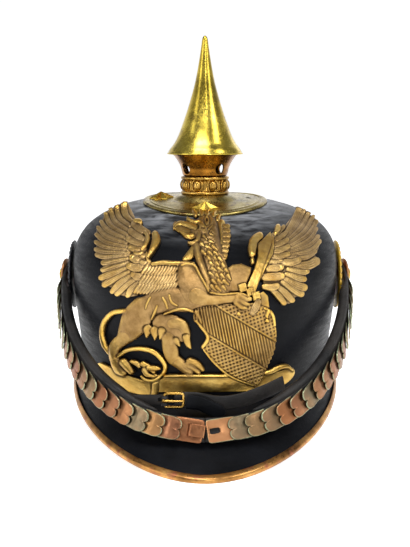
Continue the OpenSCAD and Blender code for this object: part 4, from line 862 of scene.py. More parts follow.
endPlate = {"length": strap["hookL"] * 0.84, "place": strapL - strap["hookL"] * 0.86, "tilt": 4.0,
            "slotAt": 0.57, "slot": (3.0, 1.6),
            "section": [(0.0, 0.1), (0.0, 0.5), (0.05, 0.6), (0.5, 0.62), (0.9, 0.6), (0.97, 0.56), (1.0, 0.4),
                        (1.0, 0.12), (0.97, 0.0), (0.5, 0.0), (0.03, 0.0)],
            "top": [(0.3, 0.6), (0.7, 0.6), (0.95, 0.58), (1.0, 0.42)], "back": [(1.0, 0.1), (0.96, 0.0), (0.5, 0.0)],
            "hookRoute": [[0.49, 0.3], [0.545, 1.4], [0.59, 2.35], [0.7, 2.6], [1.08, 2.6]]}


def makeEndPlates():
    # the slotted plate and the hook: flat bars with rounded edges, the slot's outline inside the plate's
    length, at, tilt = endPlate["length"], endPlate["place"], endPlate["tilt"]
    outer = roundSection(length / 2, strap["scaleW"] / 2, 9.0, 96) + [length / 2, 0]
    slotW, slotH = endPlate["slot"]
    inner = roundSection(slotW, slotH, 5.0, 96) + [length * endPlate["slotAt"] + slotW, 0]
    rings = np.stack([np.column_stack([mix(inner, outer, s), np.full(96, h)]) for s, h in endPlate["section"]])
    shape = onStrap(closedGrid(rings), at, onLeather, tilt)
    edge = np.clip((np.repeat([s for s, _ in endPlate["section"]], 96) - 0.8) / 0.2, 0, 1)
    putMesh("slot_plate_metal", [shape], "scaleCopper", "slot_plate",
            {"tint": np.full(len(edge), 0.3), "edge": edge}, "chinscales")
    bar = discShape(outer, endPlate["top"], endPlate["back"], np.array([length / 2, 0]))
    route = smoothLine(np.array(endPlate["hookRoute"]) * [length, 1], 30)
    d = unit(np.gradient(route, axis=0))
    route, out = np.insert(route, 1, 0, axis=1), np.stack([-d[:, 1], 0 * d[:, 0], d[:, 0]], -1)
    hook = carried(route, roundSection(strap["scaleW"] * 0.27, 0.3, 5.0, 20), np.array([0, 1.0, 0]), out)
    shapes = [mirrored(onStrap(s, at, onLeather, tilt)) for s in (bar, sweepShape(hook))]
    total = sum(len(s[0]) for s in shapes)
    putMesh("hook_plate_metal", shapes, "scaleCopper", "hook_plate",
            {"tint": np.full(total, 0.12), "edge": np.zeros(total)}, "chinscales")


rosetteShare = [[1.0, 0.0], [1.0, 0.3], [0.97, 0.55], [0.9, 0.72], [0.83, 0.6], [0.77, 0.38], [0.7, 0.42], [0.6, 0.5],
                [0.56, 0.78], [0.48, 0.95], [0.38, 0.92], [0.3, 0.78], [0.2, 0.75]]


def makeRosettes():
    # turned rosette on the strap's end: rings and coves about its middle, as shares of radius and height
    r, h = strap["rosetteD"] / 2, strap["rosetteD"] / 11
    profile = np.vstack([[[0, 0]], smoothLine(rosetteShare, 70) * [r, h], [[0, rosetteShare[-1][1] * h]]])
    shape = onStrap(turnShape(profile, 96), strapEnd, onLeather, 0)
    layers = {"tint": np.full(len(shape[0]), 0.3), "edge": np.zeros(len(shape[0]))}
    putPair("rosette_{}_metal", [shape], "scaleCopper", [layers, layers])


cockade = {"r": 24.0, "bore": 2.45, "metal": 1.1, "flutes": 32, "scallop": 1.1, "fluteFrom": 0.64, "off": 0.3,
           "rings": [(0.45, 0.62, 0.022), (0.25, 0.41, 0.02)]}  # height, place and half width as shares of r


def makeCockades():
    # stamped disc: flat middle, raised rings, and flutes that widen to a scalloped rim; across a flute the height
    # is the half circle root of 1 - u^2
    big, bore, flutes = cockade["r"], cockade["bore"], cockade["flutes"]
    theta = np.linspace(0, 2 * np.pi, flutes * 12, endpoint=False)[:, None]
    across = np.sqrt(np.maximum(0, 1 - (0.98 * ((theta * flutes / (2 * np.pi)) % 1 * 2 - 1)) ** 2))
    rimAt = big - cockade["scallop"] * (1 - across)
    s = np.concatenate([np.linspace(0, 0.9, 54), [0.93, 0.96, 0.98, 0.993, 1.0]])
    q = (bore + s * (rimAt - bore)) / big
    over = q - cockade["fluteFrom"]
    swell = across * soft(over / 0.06) * mix(0.35, 1.0, np.clip(over / 0.36, 0, 1)) * rounded((s - 0.86) / 0.14)
    swell = swell + sum(high * bell(q, place, width) for high, place, width in cockade["rings"])
    height = cockade["metal"] * 0.75 * (1 - 0.6 * (s > 0.97)) + swell
    r = bore + np.concatenate([s, [1.0, 0.6, 0.3, 0.0]]) * (rimAt - bore)
    x = np.concatenate([height, np.zeros((len(theta), 4))], 1)
    x = x + skull["halfW"] + cockade["off"]
    shape = closedGrid(np.stack([x, r * np.cos(theta), strap["boltZ"] + r * np.sin(theta)], -1))
    putMesh("cockade_right_disc", [shape], "cockadeGold", "cockade_right")
    putMesh("cockade_left_disc", [mirrored(shape)], "cockadeBlack", "cockade_left")


buckle = {"place": np.array([-18.0, -113.7, 34.748]), "w": 12.5, "h": 10.0, "wire": 0.85, "tongueW": 8.6,
          "tongueWall": 1.5, "pinThick": 0.92, "pinThin": 0.55, "pinBow": 0.25, "eyeGap": 0.15, "eyeHalf": 0.95,
          "behind": 1.9, "before": 0.2,
          "tongueRoute": [[0, 0, 0], [1, 0, 0], [2, 0, -0.25], [3, 0.1, -0.15], [4.2, 0.65, 0.3], [5.2, 1.55, 0.7]],
          "tipRoute": [[0, 0, -0.1], [0.9, 0, -0.22], [1.8, 0, -0.65], [2.6, 0, -0.9]]}


def makeBuckle():
    # round wire bent to a flat-sided loop, and a prong: an eye about the bar and a pin over the loop
    wire, place = buckle["wire"], buckle["place"]
    loop = roundSection(buckle["w"] / 2 - wire, buckle["h"] / 2 - wire, 7.0, 96)
    loop = place + np.stack([loop[:, 0], 0 * loop[:, 0], loop[:, 1]], -1)
    level = np.array([0, 1.0, 0])
    side = unit(np.cross(np.roll(loop, -1, 0) - np.roll(loop, 1, 0), level))
    putMesh("buckle_frame_brass", [sweepShape(carried(loop, roundSection(wire, wire, 2.0, 16), side, level), True)],
            "pearlBronze", "buckle_frame", body="buckle_frame")
    bar = place + [wire - buckle["w"] / 2, 0, 0]
    inner, outer = wire + buckle["eyeGap"], wire + 0.6 * buckle["tongueWall"]
    section = roundSection((outer - inner) / 2, buckle["eyeHalf"], 2.0, 12) + [(outer + inner) / 2, 0]
    points, faces = turnShape(section, 40)
    s = np.linspace(0, 1, 24)
    bow = -inner - buckle["eyeHalf"] / 2 - buckle["pinBow"] * np.sin(np.pi * s)
    pin = bar + np.stack([s * (buckle["w"] - wire), bow, 0 * s], -1)
    thick = mix(buckle["pinThick"], buckle["pinThin"], s) * rounded((s - 0.95) / 0.05, 0.02)
    d = unit(np.gradient(pin, axis=0))
    side = unit(np.cross(d, level))
    rings = carried(pin, roundSection(1.0, 1.0, 2.0, 16), side, np.cross(side, d), thick, thick)
    putMesh("buckle_prong_brass", [(points + bar, faces), sweepShape(rings)], "pearlBronze", "buckle_prong",
            body="buckle_prong")


def ribbonShape(route, width, wall, count, taper=0.0):
    # leather strip on edge: a rounded section carried along a smooth route, its far end cut to a point by taper
    line = smoothLine(route, count)
    d = unit(np.gradient(line, axis=0))
    n = unit(np.stack([d[:, 1], -d[:, 0], 0 * d[:, 0]], -1))
    up = np.cross(n, d)
    s = np.linspace(0, 1, count)
    narrow = 0.8 * np.clip((s - 1 + taper) / taper, 0, 1) ** 1.6 if taper else 0 * s
    return sweepShape(carried(line, roundSection(1.0, wall / 2, 5.0, 20), up * np.sign(up[:, 2:]), n,
                              width / 2 * (1 - narrow)))


def makeBuckleLeather():
    # the tongue behind the buckle and away over the visor, and its loose tip before it
    w, wall, length = buckle["tongueW"], buckle["tongueWall"], buckle["w"]
    tongue = np.array(buckle["tongueRoute"]) * [length, w, w] + buckle["place"] + [0, buckle["behind"], 0]
    tip = np.array(buckle["tipRoute"]) * w + buckle["place"] + [length * 0.6, -buckle["before"], 0]
    putMesh("tongue_leather", [ribbonShape(tongue, w, wall, 90)], "strapLeather", "strap_tongue",
            body="chinscales")
    putMesh("tip_leather", [ribbonShape(tip, w, wall, 60, 0.25)], "lacquer", "strap_tip",
            {"under": np.zeros(60 * 20)}, "chinscales")


spine = {"halfW": 4.0, "high": 2.6, "over": 1.5, "startR": 43.5, "endT": 0.12,
         "guard": [0.3, 0.45, 0.6, 0.75, 0.88, 0.96],
         "hook": [[-0.2, 3.1], [0, 2.4], [0, 1.2], [0, 0.3]], "hookN": [[0.8, 0.6], [1, 0.1], [1, 0], [1, 0]]}


def makeSpine():
    # half-round bar down the back of the skull and over the guard, hooked round its rim
    t = np.linspace(domeRow(90.0, spine["startR"]), spine["endT"], 60)
    across = np.full((6, 1), 90.0)
    guardT = np.array(spine["guard"])[:, None]
    mid, back = (visorMid(across, guardT - step, False)[:, 0] + [0, 0, spine["over"]] for step in (0, 0.01))
    d = mid - back
    guardN = unit(np.stack([0 * d[:, 0], -d[:, 2], d[:, 1]], -1))
    hook = np.insert(np.array(spine["hook"]) + [rim["reach"] + 0.3, 0], 0, 0, axis=1)
    hookN = np.insert(np.array(spine["hookN"], float), 0, 0, axis=1)
    path = np.vstack([skullOff(90.0, t, 0.3), smoothLine(mid, 30), hook])
    normals = unit(np.vstack([rowNormal(90.0 + 0 * t, t), unit(smoothLine(guardN, 30)), unit(hookN)]))
    high = np.concatenate([np.full(91, spine["high"]), [2.5, 2.5, 2.4]])
    a = np.radians(np.linspace(0, 180, 15))
    section = np.stack([spine["halfW"] * np.cos(a), np.sin(a)], -1)
    rings = carried(path, section, np.array([1.0, 0, 0]), normals, 1.0, high)
    rings[..., 2] = np.maximum(rings[..., 2], 0)
    putMesh("spine_brass", [sweepShape(rings[:, ::-1])], "brass", "rear_spine")


lining = {"bandH": 46.0, "bandWall": 1.4, "gap": 6.383, "folds": 12, "drop": 16.0, "fold": 1.6, "topShare": 0.94}


def makeSweatband():
    # leather band sewn at the lower edge, standing off the skull higher up, its edges rounded
    az = allRound(240)
    t = np.linspace(0, 1, 26)
    z = skull["base"] + lining["bandH"] * t
    edge = 0.7 * (1 - rounded((np.abs(t - 0.5) - 0.47) / 0.03))
    r = skullR(az, z + 0 * az) - mix(skull["wall"] + 0.3, lining["gap"], soft(2 * t))
    inner = polar(az, r - lining["bandWall"] + edge, z)[:, ::-1]
    band = closedGrid(np.concatenate([polar(az, r - edge, z), inner], 1))
    putMesh("sweatband_hide", [band], "hide", "sweatband")


def makeSilk():
    # gathered cloth: rows from the sweatband's edge to under the crown, each pushed inwards by a wave of folds
    az = allRound(480)
    s = np.linspace(0, 1, 60)
    start = skull["bellyShare"] * lining["bandH"] / (belly(az) - skull["base"])
    off = mix(lining["gap"], skull["wall"] + lining["drop"], s ** 2)
    turn = np.radians(az) * lining["folds"]
    push = lining["fold"] * soft(3 * s) * (1 + 0.85 * np.cos(turn) + 0.15 * np.cos(3 * turn + 1.3))
    bandTop = skull["base"] + lining["bandH"]
    faces = []
    for thick, hem in ((0, 0), (0.35, 0.5)):
        face = skullOff(az, mix(start, lining["topShare"], s), -off - push - thick)
        face[:, 0] = polar(az, skullR(az, bandTop + 0 * az) - lining["gap"] - hem, bandTop + 0.3)[:, 0]
        faces.append(face)
    cloth = closedGrid(np.concatenate([faces[0], faces[1][:, ::-1]], 1))
    silk = putMesh("silk_lining_cloth", [cloth], "silk", "silk_lining")


# The relief is drawn on a fine grid over the picture plane and carried along the camera's rays onto the skull.
# Each drawing is enlarged: a place on it is corner + place / enlarge, in image points. A patch is a list of x, y
# corners, and a stroke is a list of x, y and half width at each place of its line.
plate = {"left": 94, "right": 326, "top": 198, "bottom": 397, "step": 0.5, "back": 0.55, "front": 1.0, "margin": 2.5,
         "near": 380.0, "far": 620.0, "halvings": 17, "bendFrom": 518.0, "bendBy": 22.0, "blur": 5, "depth": 0.4,
         # the wings take the paler copy of the frosted brass, painted light for their upturned faces
         "pieces": {"plate_left_wing": "litWingBrass", "plate_right_wing": "litWingBrass",
                    "plate_griffin": "frostedBrass", "plate_shield": "frostedBrass"}}
kinds = {
    # name: (height at the edge, height in the middle, roundness, polish, groove around it, lines along it)
    "feather": (0.65, 1.1, 0.32, 0.08, 0.3, 1),
    "broad": (0.7, 1.25, 0.32, 0.15, 0.3, 2),
    "covert": (0.9, 1.6, 0.35, 0.12, 0.35, 3),
    "small": (0.9, 1.6, 0.5, 0.2, 0.3, 0),
    "bone": (0.8, 2.4, 0.5, 0.35, 0.35, 0),
    "knob": (0.7, 2.7, 0.5, 0.6, 0.3, 0),
    "muscle": (0.6, 2.7, 0.5, 0.06, 0.15, 0),
    "body": (0.6, 2.3, 0.5, 0.04, 0.15, 0),
    "limb": (0.6, 2.6, 0.5, 0.15, 0.2, 0),
    "gold": (0.5, 1.7, 0.5, 0.45, 0.3, 0),
    "tuft": (0.9, 2.2, 0.5, 0.3, 0.4, 0),
    "ridge": (1.2, 2.6, 0.5, 0.4, 0.2, 0),
    "dent": (1.2, 0.7, 0.5, 0.0, 0.0, 0),
    "tail": (0.5, 1.9, 0.5, 0.55, 0.35, 0),
    "band": (0.5, 1.1, 0.25, 0.55, 0.2, 0),
}
patchKinds = {
    # name: (height at the edge, height inside, width of the bevel, polish, groove around it)
    # a wing's web is the sheet that its feathers are raised from
    "web": (0.15, 0.45, 1.65, 0.1, 0.1),
    "ruff": (0.9, 1.6, 2.8, 0.1, 0.1),
    "beak": (0.5, 0.9, 1.0, 0.5, 0.2),
    "shieldCorner": (0.7, 1.3, 1.2, 0.2, 0.3),
    "shieldFace": (0.7, 1.4, 1.4, 0.1, 0.4),
    "blade": (1.5, 1.7, 0.6, 0.35, 0.8),
    "guard": (2.2, 2.5, 0.8, 0.4, 0.8),
}
leftWing = {"corner": (88, 198), "enlarge": 14.65, "owner": 0, "patches": {
    "web": [500, 80, 590, 100, 700, 330, 800, 600, 900, 850, 880, 1100, 740, 1430, 600, 1455, 520, 1430, 410, 1415,
            365, 1380, 360, 1315, 300, 1295, 240, 1258, 205, 1208, 200, 1150, 225, 1095, 235, 1000, 230, 925, 180,
            888, 145, 850, 125, 795, 135, 700, 145, 605, 125, 560, 135, 475, 195, 405, 215, 335, 255, 228, 320, 180,
            410, 140, 430, 100]},
    "forms": [
    ("broad", [800, 1230, 30, 660, 1330, 44, 600, 1430, 34], [720, 1190, 30, 560, 1290, 46, 450, 1400, 40],
              [640, 1150, 28, 480, 1260, 44, 375, 1370, 34], [600, 1100, 28, 400, 1190, 46, 270, 1270, 44],
              [570, 1040, 28, 340, 1130, 46, 215, 1175, 40]),
    ("feather", [590, 970, 26, 350, 1030, 42, 235, 1065, 34], [610, 900, 26, 350, 945, 44, 240, 965, 38],
                [600, 850, 26, 270, 870, 42, 150, 850, 34], [600, 820, 26, 270, 800, 40, 132, 775, 30],
                [580, 780, 26, 270, 730, 40, 130, 670, 28], [570, 730, 26, 280, 660, 40, 135, 560, 28],
                [560, 680, 26, 290, 590, 40, 160, 460, 28], [560, 620, 26, 300, 500, 40, 200, 370, 26],
                [570, 560, 26, 340, 420, 40, 262, 250, 28], [590, 500, 26, 400, 370, 38, 338, 190, 28],
                [610, 430, 26, 460, 310, 38, 425, 135, 28]),
    ("broad", [650, 370, 22, 545, 260, 44, 530, 95, 46]),
    ("covert", [840, 1160, 46, 740, 1175, 52, 680, 1145, 44], [830, 1030, 50, 710, 1050, 58, 620, 1020, 50],
               [800, 930, 44, 720, 930, 60, 660, 900, 52], [790, 780, 30, 690, 780, 40, 625, 750, 36],
               [820, 720, 32, 700, 680, 46, 600, 630, 44], [840, 640, 32, 720, 590, 48, 630, 520, 44],
               [890, 540, 34, 770, 490, 54, 675, 420, 46]),
    ("knob", [690, 380, 24, 760, 385, 34, 780, 400, 24]),
    ("small", [900, 960, 34, 840, 985, 36, 790, 965, 34], [850, 870, 28, 810, 890, 30, 775, 875, 26],
              [800, 830, 22, 740, 850, 26, 690, 835, 22], [880, 1070, 26, 850, 1080, 26, 830, 1075, 22]),
    ("bone", [850, 560, 30, 880, 620, 34, 850, 720, 30, 800, 790, 22]),
    ("knob", [985, 575, 52, 1000, 650, 64, 955, 770, 44, 895, 890, 24]),
    ("ridge", [872, 850, 15, 875, 930, 17, 920, 985, 18, 1000, 1008, 18, 1080, 975, 15]),
]}
rightWing = {"corner": (240, 198), "enlarge": 14.66, "owner": 1, "patches": {
    "web": [800, 185, 885, 165, 990, 242, 1065, 300, 1112, 405, 1095, 555, 1135, 600, 1148, 655, 1122, 765, 1065, 845,
            1110, 895, 1118, 955, 1078, 1018, 970, 1078, 940, 1125, 935, 1195, 903, 1250, 950, 1300, 948, 1350, 890,
            1405, 775, 1455, 755, 1515, 700, 1545, 580, 1540, 420, 1350, 330, 1300, 300, 1100, 380, 800, 440, 560,
            520, 440, 640, 430, 740, 300]},
    "forms": [
    ("broad", [430, 1340, 28, 540, 1440, 44, 610, 1530, 40], [520, 1300, 30, 640, 1400, 46, 725, 1490, 42],
              [600, 1240, 30, 760, 1340, 50, 855, 1400, 52], [640, 1200, 30, 800, 1280, 52, 900, 1310, 54],
              [660, 1130, 28, 820, 1180, 48, 900, 1195, 44], [680, 1060, 28, 860, 1090, 46, 945, 1085, 40],
              [700, 990, 28, 950, 1000, 56, 1075, 945, 62]),
    ("feather", [680, 880, 26, 920, 880, 46, 1060, 800, 40], [680, 850, 26, 980, 790, 46, 1125, 660, 40],
                [680, 820, 26, 980, 700, 42, 1110, 590, 32], [680, 780, 26, 960, 640, 42, 1085, 480, 34],
                [680, 730, 26, 940, 570, 42, 1090, 370, 36], [670, 690, 26, 900, 520, 40, 1045, 300, 32],
                [660, 640, 26, 860, 460, 40, 985, 240, 32], [650, 600, 26, 810, 400, 38, 925, 190, 30]),
    ("broad", [640, 560, 26, 770, 370, 44, 850, 185, 48]),
    ("covert", [600, 960, 40, 720, 970, 50, 825, 935, 44], [330, 1310, 38, 440, 1320, 50, 510, 1300, 44],
               [330, 1180, 46, 480, 1170, 58, 580, 1160, 50], [400, 1060, 44, 500, 1050, 56, 570, 1035, 46],
               [420, 950, 36, 500, 950, 44, 570, 940, 36], [440, 880, 34, 560, 885, 42, 680, 850, 34],
               [445, 805, 34, 565, 795, 42, 680, 745, 34], [450, 730, 34, 560, 705, 40, 670, 645, 32],
               [455, 655, 32, 550, 620, 38, 650, 545, 30], [455, 585, 30, 535, 540, 36, 620, 455, 28]),
    ("knob", [500, 560, 26, 530, 500, 44, 535, 470, 42]),
    ("bone", [450, 620, 26, 455, 740, 26, 440, 860, 22]),
    ("knob", [270, 600, 60, 200, 660, 72, 165, 770, 66, 165, 850, 52], [160, 940, 32, 165, 980, 26]),
]}
griffinHead = {"corner": (155, 205), "enlarge": 14.65, "owner": 2, "patches": {
    "ruff": [1040, 960, 1118, 905, 1249, 888, 1395, 945, 1387, 1029, 1330, 1150, 1310, 1270, 1040, 1290],
    "beak": [256, 304, 288, 272, 435, 264, 580, 310, 600, 508, 516, 532, 435, 508, 369, 443, 288, 390, 256, 361]},
    "forms": [
    # web before the neck, then the mane: its flat band and the scallops at its back edge
    ("gold", [560, 660, 40, 500, 770, 60, 430, 820, 34],
             [960, 300, 60, 1000, 460, 66, 1000, 640, 62, 1000, 800, 44]),
    ("small", [1010, 355, 36, 1060, 350, 34], [1010, 420, 36, 1066, 415, 34], [1010, 490, 36, 1072, 485, 34],
              [1010, 560, 36, 1066, 555, 34], [1000, 630, 36, 1058, 628, 32], [1000, 700, 36, 1044, 700, 30],
              [990, 765, 34, 1030, 770, 28]),
    # neck and throat
    ("body", [760, 300, 150, 780, 520, 160, 830, 760, 150, 900, 1000, 165, 930, 1230, 170]),
    ("muscle", [600, 640, 50, 640, 820, 56, 700, 980, 56, 760, 1130, 50, 780, 1230, 40]),
    # head
    ("body", [640, 400, 120, 740, 400, 130, 800, 460, 110]),
    ("tuft", [590, 180, 34, 560, 140, 26, 570, 120, 12], [680, 180, 34, 660, 140, 26, 670, 118, 12],
             [760, 180, 34, 760, 140, 26, 780, 120, 12], [850, 200, 34, 860, 160, 26, 885, 140, 12],
             [910, 250, 34, 930, 210, 26, 955, 190, 12]),
    ("muscle", [560, 320, 44, 640, 350, 56, 720, 420, 50]),
    ("ridge", [470, 250, 18, 560, 300, 22, 650, 300, 20, 730, 380, 14]),
    ("gold", [590, 370, 50, 480, 325, 42, 360, 300, 32, 290, 335, 22, 268, 385, 8],
             [550, 475, 24, 470, 480, 28, 400, 450, 18, 350, 415, 6]),
    ("limb", [640, 480, 40, 615, 560, 30, 545, 605, 24, 480, 600, 10]),
    ("dent", [690, 395, 17, 712, 405, 14]),
    ("tuft", [755, 320, 40, 750, 265, 44, 745, 215, 10]),
    ("dent", [752, 285, 15, 750, 245, 8]),
    ("tuft", [780, 410, 24, 840, 350, 10], [700, 500, 26, 760, 560, 10], [800, 470, 26, 850, 500, 12],
             [790, 570, 28, 850, 600, 12]),
    # locks of the mane, staggered so that no two lie alike
    ("tuft", *[[x + 14 * math.sin(3 * x + y), y, 34, x + 50, y + 50 + 16 * math.sin(x * y), 14] for x, y in [
        [670, 610], [760, 640], [850, 640], [700, 720], [790, 720], [870, 730], [760, 800], [850, 800],
        [930, 810], [800, 880], [890, 880], [970, 900], [840, 960], [930, 960], [1010, 980], [800, 1030],
        [880, 1050], [960, 1050], [1040, 1060], [850, 1130], [930, 1130], [1010, 1140], [830, 1210],
        [900, 1220], [970, 1220]]]),
]}
torso = {"corner": (155, 205), "enlarge": 14.65, "owner": 2, "forms": [
    # the bone of the left wing runs into the shoulder
    ("bone", [-30, 900, 26, 120, 880, 34, 260, 890, 34, 400, 890, 30, 560, 900, 26]),
]}
hind = {"corner": (95, 290), "enlarge": 13.07, "owner": 2, "forms": [
    ("tail", [420, 265, 34, 260, 290, 36, 150, 400, 34, 112, 550, 30, 140, 700, 30, 210, 810, 26]),
    ("body", [1330, 120, 170, 1080, 130, 150, 840, 160, 140, 650, 240, 150]),
    ("muscle", [620, 240, 150, 560, 360, 190, 480, 500, 150, 400, 610, 90]),
    ("body", [880, 420, 120, 1020, 470, 150, 1140, 560, 110]),
    ("limb", [1020, 420, 60, 1130, 430, 64, 1190, 520, 52, 1200, 640, 42]),
    ("tuft", [1190, 600, 50, 1220, 700, 36, 1256, 745, 6], [705, 500, 62, 695, 600, 14],
             [795, 520, 62, 800, 630, 14], [885, 520, 56, 865, 620, 14], [1060, 640, 46, 1110, 710, 14]),
    ("limb", [960, 620, 84, 990, 760, 100, 1030, 880, 84, 1130, 960, 70],
             [1100, 950, 60, 1180, 1010, 62, 1240, 1050, 54], [1240, 920, 54, 1330, 960, 52, 1400, 1020, 30],
             [1200, 960, 40, 1290, 1010, 42, 1350, 1055, 30],
             [400, 620, 90, 290, 720, 76, 270, 840, 62, 300, 960, 60], [300, 960, 60, 340, 1040, 58, 400, 1080, 36],
             [390, 930, 50, 450, 1000, 48, 500, 1060, 32]),
    ("ridge", [920, 300, 14, 1050, 255, 18, 1180, 245, 18, 1330, 290, 12],
              [740, 100, 14, 700, 180, 16, 690, 230, 10], [900, 110, 16, 940, 170, 18, 960, 230, 10],
              [830, 200, 14, 790, 300, 18, 760, 370, 10], [980, 80, 14, 1010, 160, 16, 1080, 200, 10]),
    ("tail", [330, 850, 24, 440, 775, 30, 600, 755, 32, 760, 790, 32, 870, 880, 32, 925, 990, 30, 890, 1090, 28, 790,
              1165, 26, 680, 1160, 22, 620, 1110, 10]),
    ("tuft", [500, 915, 22, 570, 950, 30, 600, 990, 16], [640, 950, 34, 720, 1000, 36, 790, 1060, 16],
             [720, 1000, 34, 800, 1010, 36, 860, 1010, 16], [660, 1030, 34, 700, 1090, 32, 780, 1110, 14]),
]}
foreleg = {"corner": (155, 205), "enlarge": 14.65, "owner": 2, "forms": [
    ("muscle", [455, 990, 130, 520, 1120, 200, 590, 1270, 190]),
    ("ridge", [390, 930, 15, 480, 905, 18, 580, 930, 20, 640, 1040, 20, 710, 1160, 18, 775, 1280, 14]),
    ("limb", [600, 1350, 100, 800, 1400, 80, 1000, 1385, 66, 1180, 1370, 62]),
    ("ridge", [800, 1300, 12, 960, 1325, 15, 1120, 1310, 16, 1250, 1310, 16, 1380, 1370, 12]),
    ("limb", [1200, 1340, 44, 1300, 1380, 42, 1370, 1390, 20], [1190, 1390, 42, 1290, 1440, 40, 1350, 1450, 18],
             [1160, 1430, 40, 1240, 1490, 36, 1310, 1500, 16]),
]}
scrollBand = {"corner": (95, 290), "enlarge": 13.07, "owner": 3, "forms": [
    ("band", [90, 1000, 60, 190, 1090, 100, 330, 1170, 105, 520, 1240, 100, 740, 1290, 96],
             [860, 1215, 112, 1200, 1215, 112, 1568, 1212, 112, 1900, 1205, 112, 2150, 1200, 110],
             [2150, 1200, 110, 2300, 1180, 104, 2430, 1130, 90, 2520, 1060, 60, 2480, 1010, 30]),
    ("tail", [2090, 1085, 22, 2250, 1060, 30, 2380, 1000, 32, 2480, 985, 30, 2530, 1030, 22]),
    ("ridge", [840, 1105, 14, 1100, 1100, 20, 1500, 1100, 20, 1900, 1098, 18]),
    ("gold", [790, 1120, 44, 800, 1250, 46, 780, 1380, 40]),
]}
shield = {"corner": (185, 285), "enlarge": 13.63, "owner": 3,
          "outline": [120, 330, 115, 470, 190, 545, 255, 640, 272, 730, 210, 835, 262, 880, 340, 980, 480, 1130,
                      640, 1250, 800, 1335, 930, 1365, 1015, 1265, 1080, 1120, 1180, 900, 1215, 700, 1205, 540,
                      1190, 420, 1120, 310, 1060, 290, 900, 240, 500, 260, 200, 300, 120, 330],
          "scroll": [950, 330, 955, 235, 985, 120, 1045, 92, 1105, 150, 1125, 320, 1050, 380],
          "bendLines": [(540, 370, 0.52, -0.854), (420, 710, -0.528, 0.849)], "dots": (62.0, 36.0, 13), "forms": [
    ("gold", [150, 480, 18, 215, 560, 24, 290, 660, 26, 300, 740, 24, 235, 840, 18],
             [250, 870, 14, 400, 1060, 16, 620, 1240, 16, 900, 1352, 12],
             [1060, 310, 20, 1130, 350, 26, 1175, 430, 22, 1190, 540, 14]),
    ("tuft", [1110, 340, 26, 1080, 400, 22, 1090, 440, 10]),
    ("ridge", [710, 380, 26, 712, 382, 26], [1085, 475, 26, 1087, 477, 26]),
    ("limb", [150, 360, 30, 190, 420, 26, 220, 500, 12]),
]}
sword = {"corner": (240, 198), "enlarge": 14.66, "owner": 3, "tip": (428.0, 560.0), "foot": (165.0, 1300.0),
         "blade": [425, 548, 240, 720, 240, 900, 180, 1080, 72, 1320, 190, 1400, 290, 1180, 380, 1000, 468, 835]}
swordGuard = {"corner": (155, 205), "enlarge": 14.65, "owner": 3,
              "squares": [(1262, 1232, 76), (1362, 1288, 70), (1450, 1338, 76)]}
hiltFeather = {"corner": (155, 205), "enlarge": 14.65, "owner": 1,
               "forms": [("covert", [1480, 1420, 46, 1440, 1500, 54, 1400, 1570, 40])]}


def newSheet():
    # the drawing's grid: height and polish, how far inside the drawing a place is, and whose piece it belongs to
    gx, gy = np.meshgrid(np.arange(plate["left"], plate["right"], plate["step"]),
                         np.arange(plate["top"], plate["bottom"], plate["step"]))
    return {"x": gx, "y": gy, "h": 0 * gx, "inside": 0 * gx - 9, "polish": 0 * gx, "owner": np.full(gx.shape, -1)}


def windowOf(sheet, points, margin):
    # the part of the grid that holds the points and a margin: (place - start) / step gives the row or column
    start = np.array([plate["left"], plate["top"]])
    j0, i0 = ((points.min(0) - margin - start) / plate["step"]).astype(int)
    j1, i1 = ((points.max(0) + margin - start) / plate["step"]).astype(int) + 2
    return slice(max(i0, 0), max(i1, 1)), slice(max(j0, 0), max(j1, 1))


def strokeField(x, y, line, width):
    # for each grid point the deepest of the tapered capsules between neighbours of a line: how far inside it is,
    # the share along the line, and the distance to the line with its side
    best = np.full(x.shape, -99.0)
    share, across, wide = np.zeros(x.shape), np.zeros(x.shape), np.ones(x.shape)
    n = len(line) - 1
    for i in range(n):
        a, d = line[i], line[i + 1] - line[i]
        f = np.clip(((x - a[0]) * d[0] + (y - a[1]) * d[1]) / (d @ d + 1e-9), 0, 1)
        dx, dy = x - a[0] - f * d[0], y - a[1] - f * d[1]
        far = np.hypot(dx, dy)
        w = mix(width[i], width[i + 1], f)
        deeper = w - far > best
        best = np.where(deeper, w - far, best)
        share = np.where(deeper, (i + f) / n, share)
        across = np.where(deeper, far * np.sign(d[0] * dy - d[1] * dx), across)
        wide = np.where(deeper, w, wide)
    return best, share, across, wide


def lay(sheet, where, inside, height, polish, groove, owner):
    # puts a form over what is there: its height inside, and a groove in its neighbours just outside
    h, held = sheet["h"][where], sheet["inside"][where]
    cover = np.clip(inside / 0.5 + 0.5, 0, 1)
    outside = groove * bell(np.minimum(inside, 0), 0, 0.75) * (inside < 0) * np.clip(held, 0, 1)
    sheet["h"][where] = mix(np.maximum(h - outside, 0.05), height, cover)
    sheet["polish"][where] = mix(sheet["polish"][where], polish, cover)
    sheet["inside"][where] = np.maximum(held, inside)
    sheet["owner"][where] = np.where(inside > 0, owner, sheet["owner"][where])


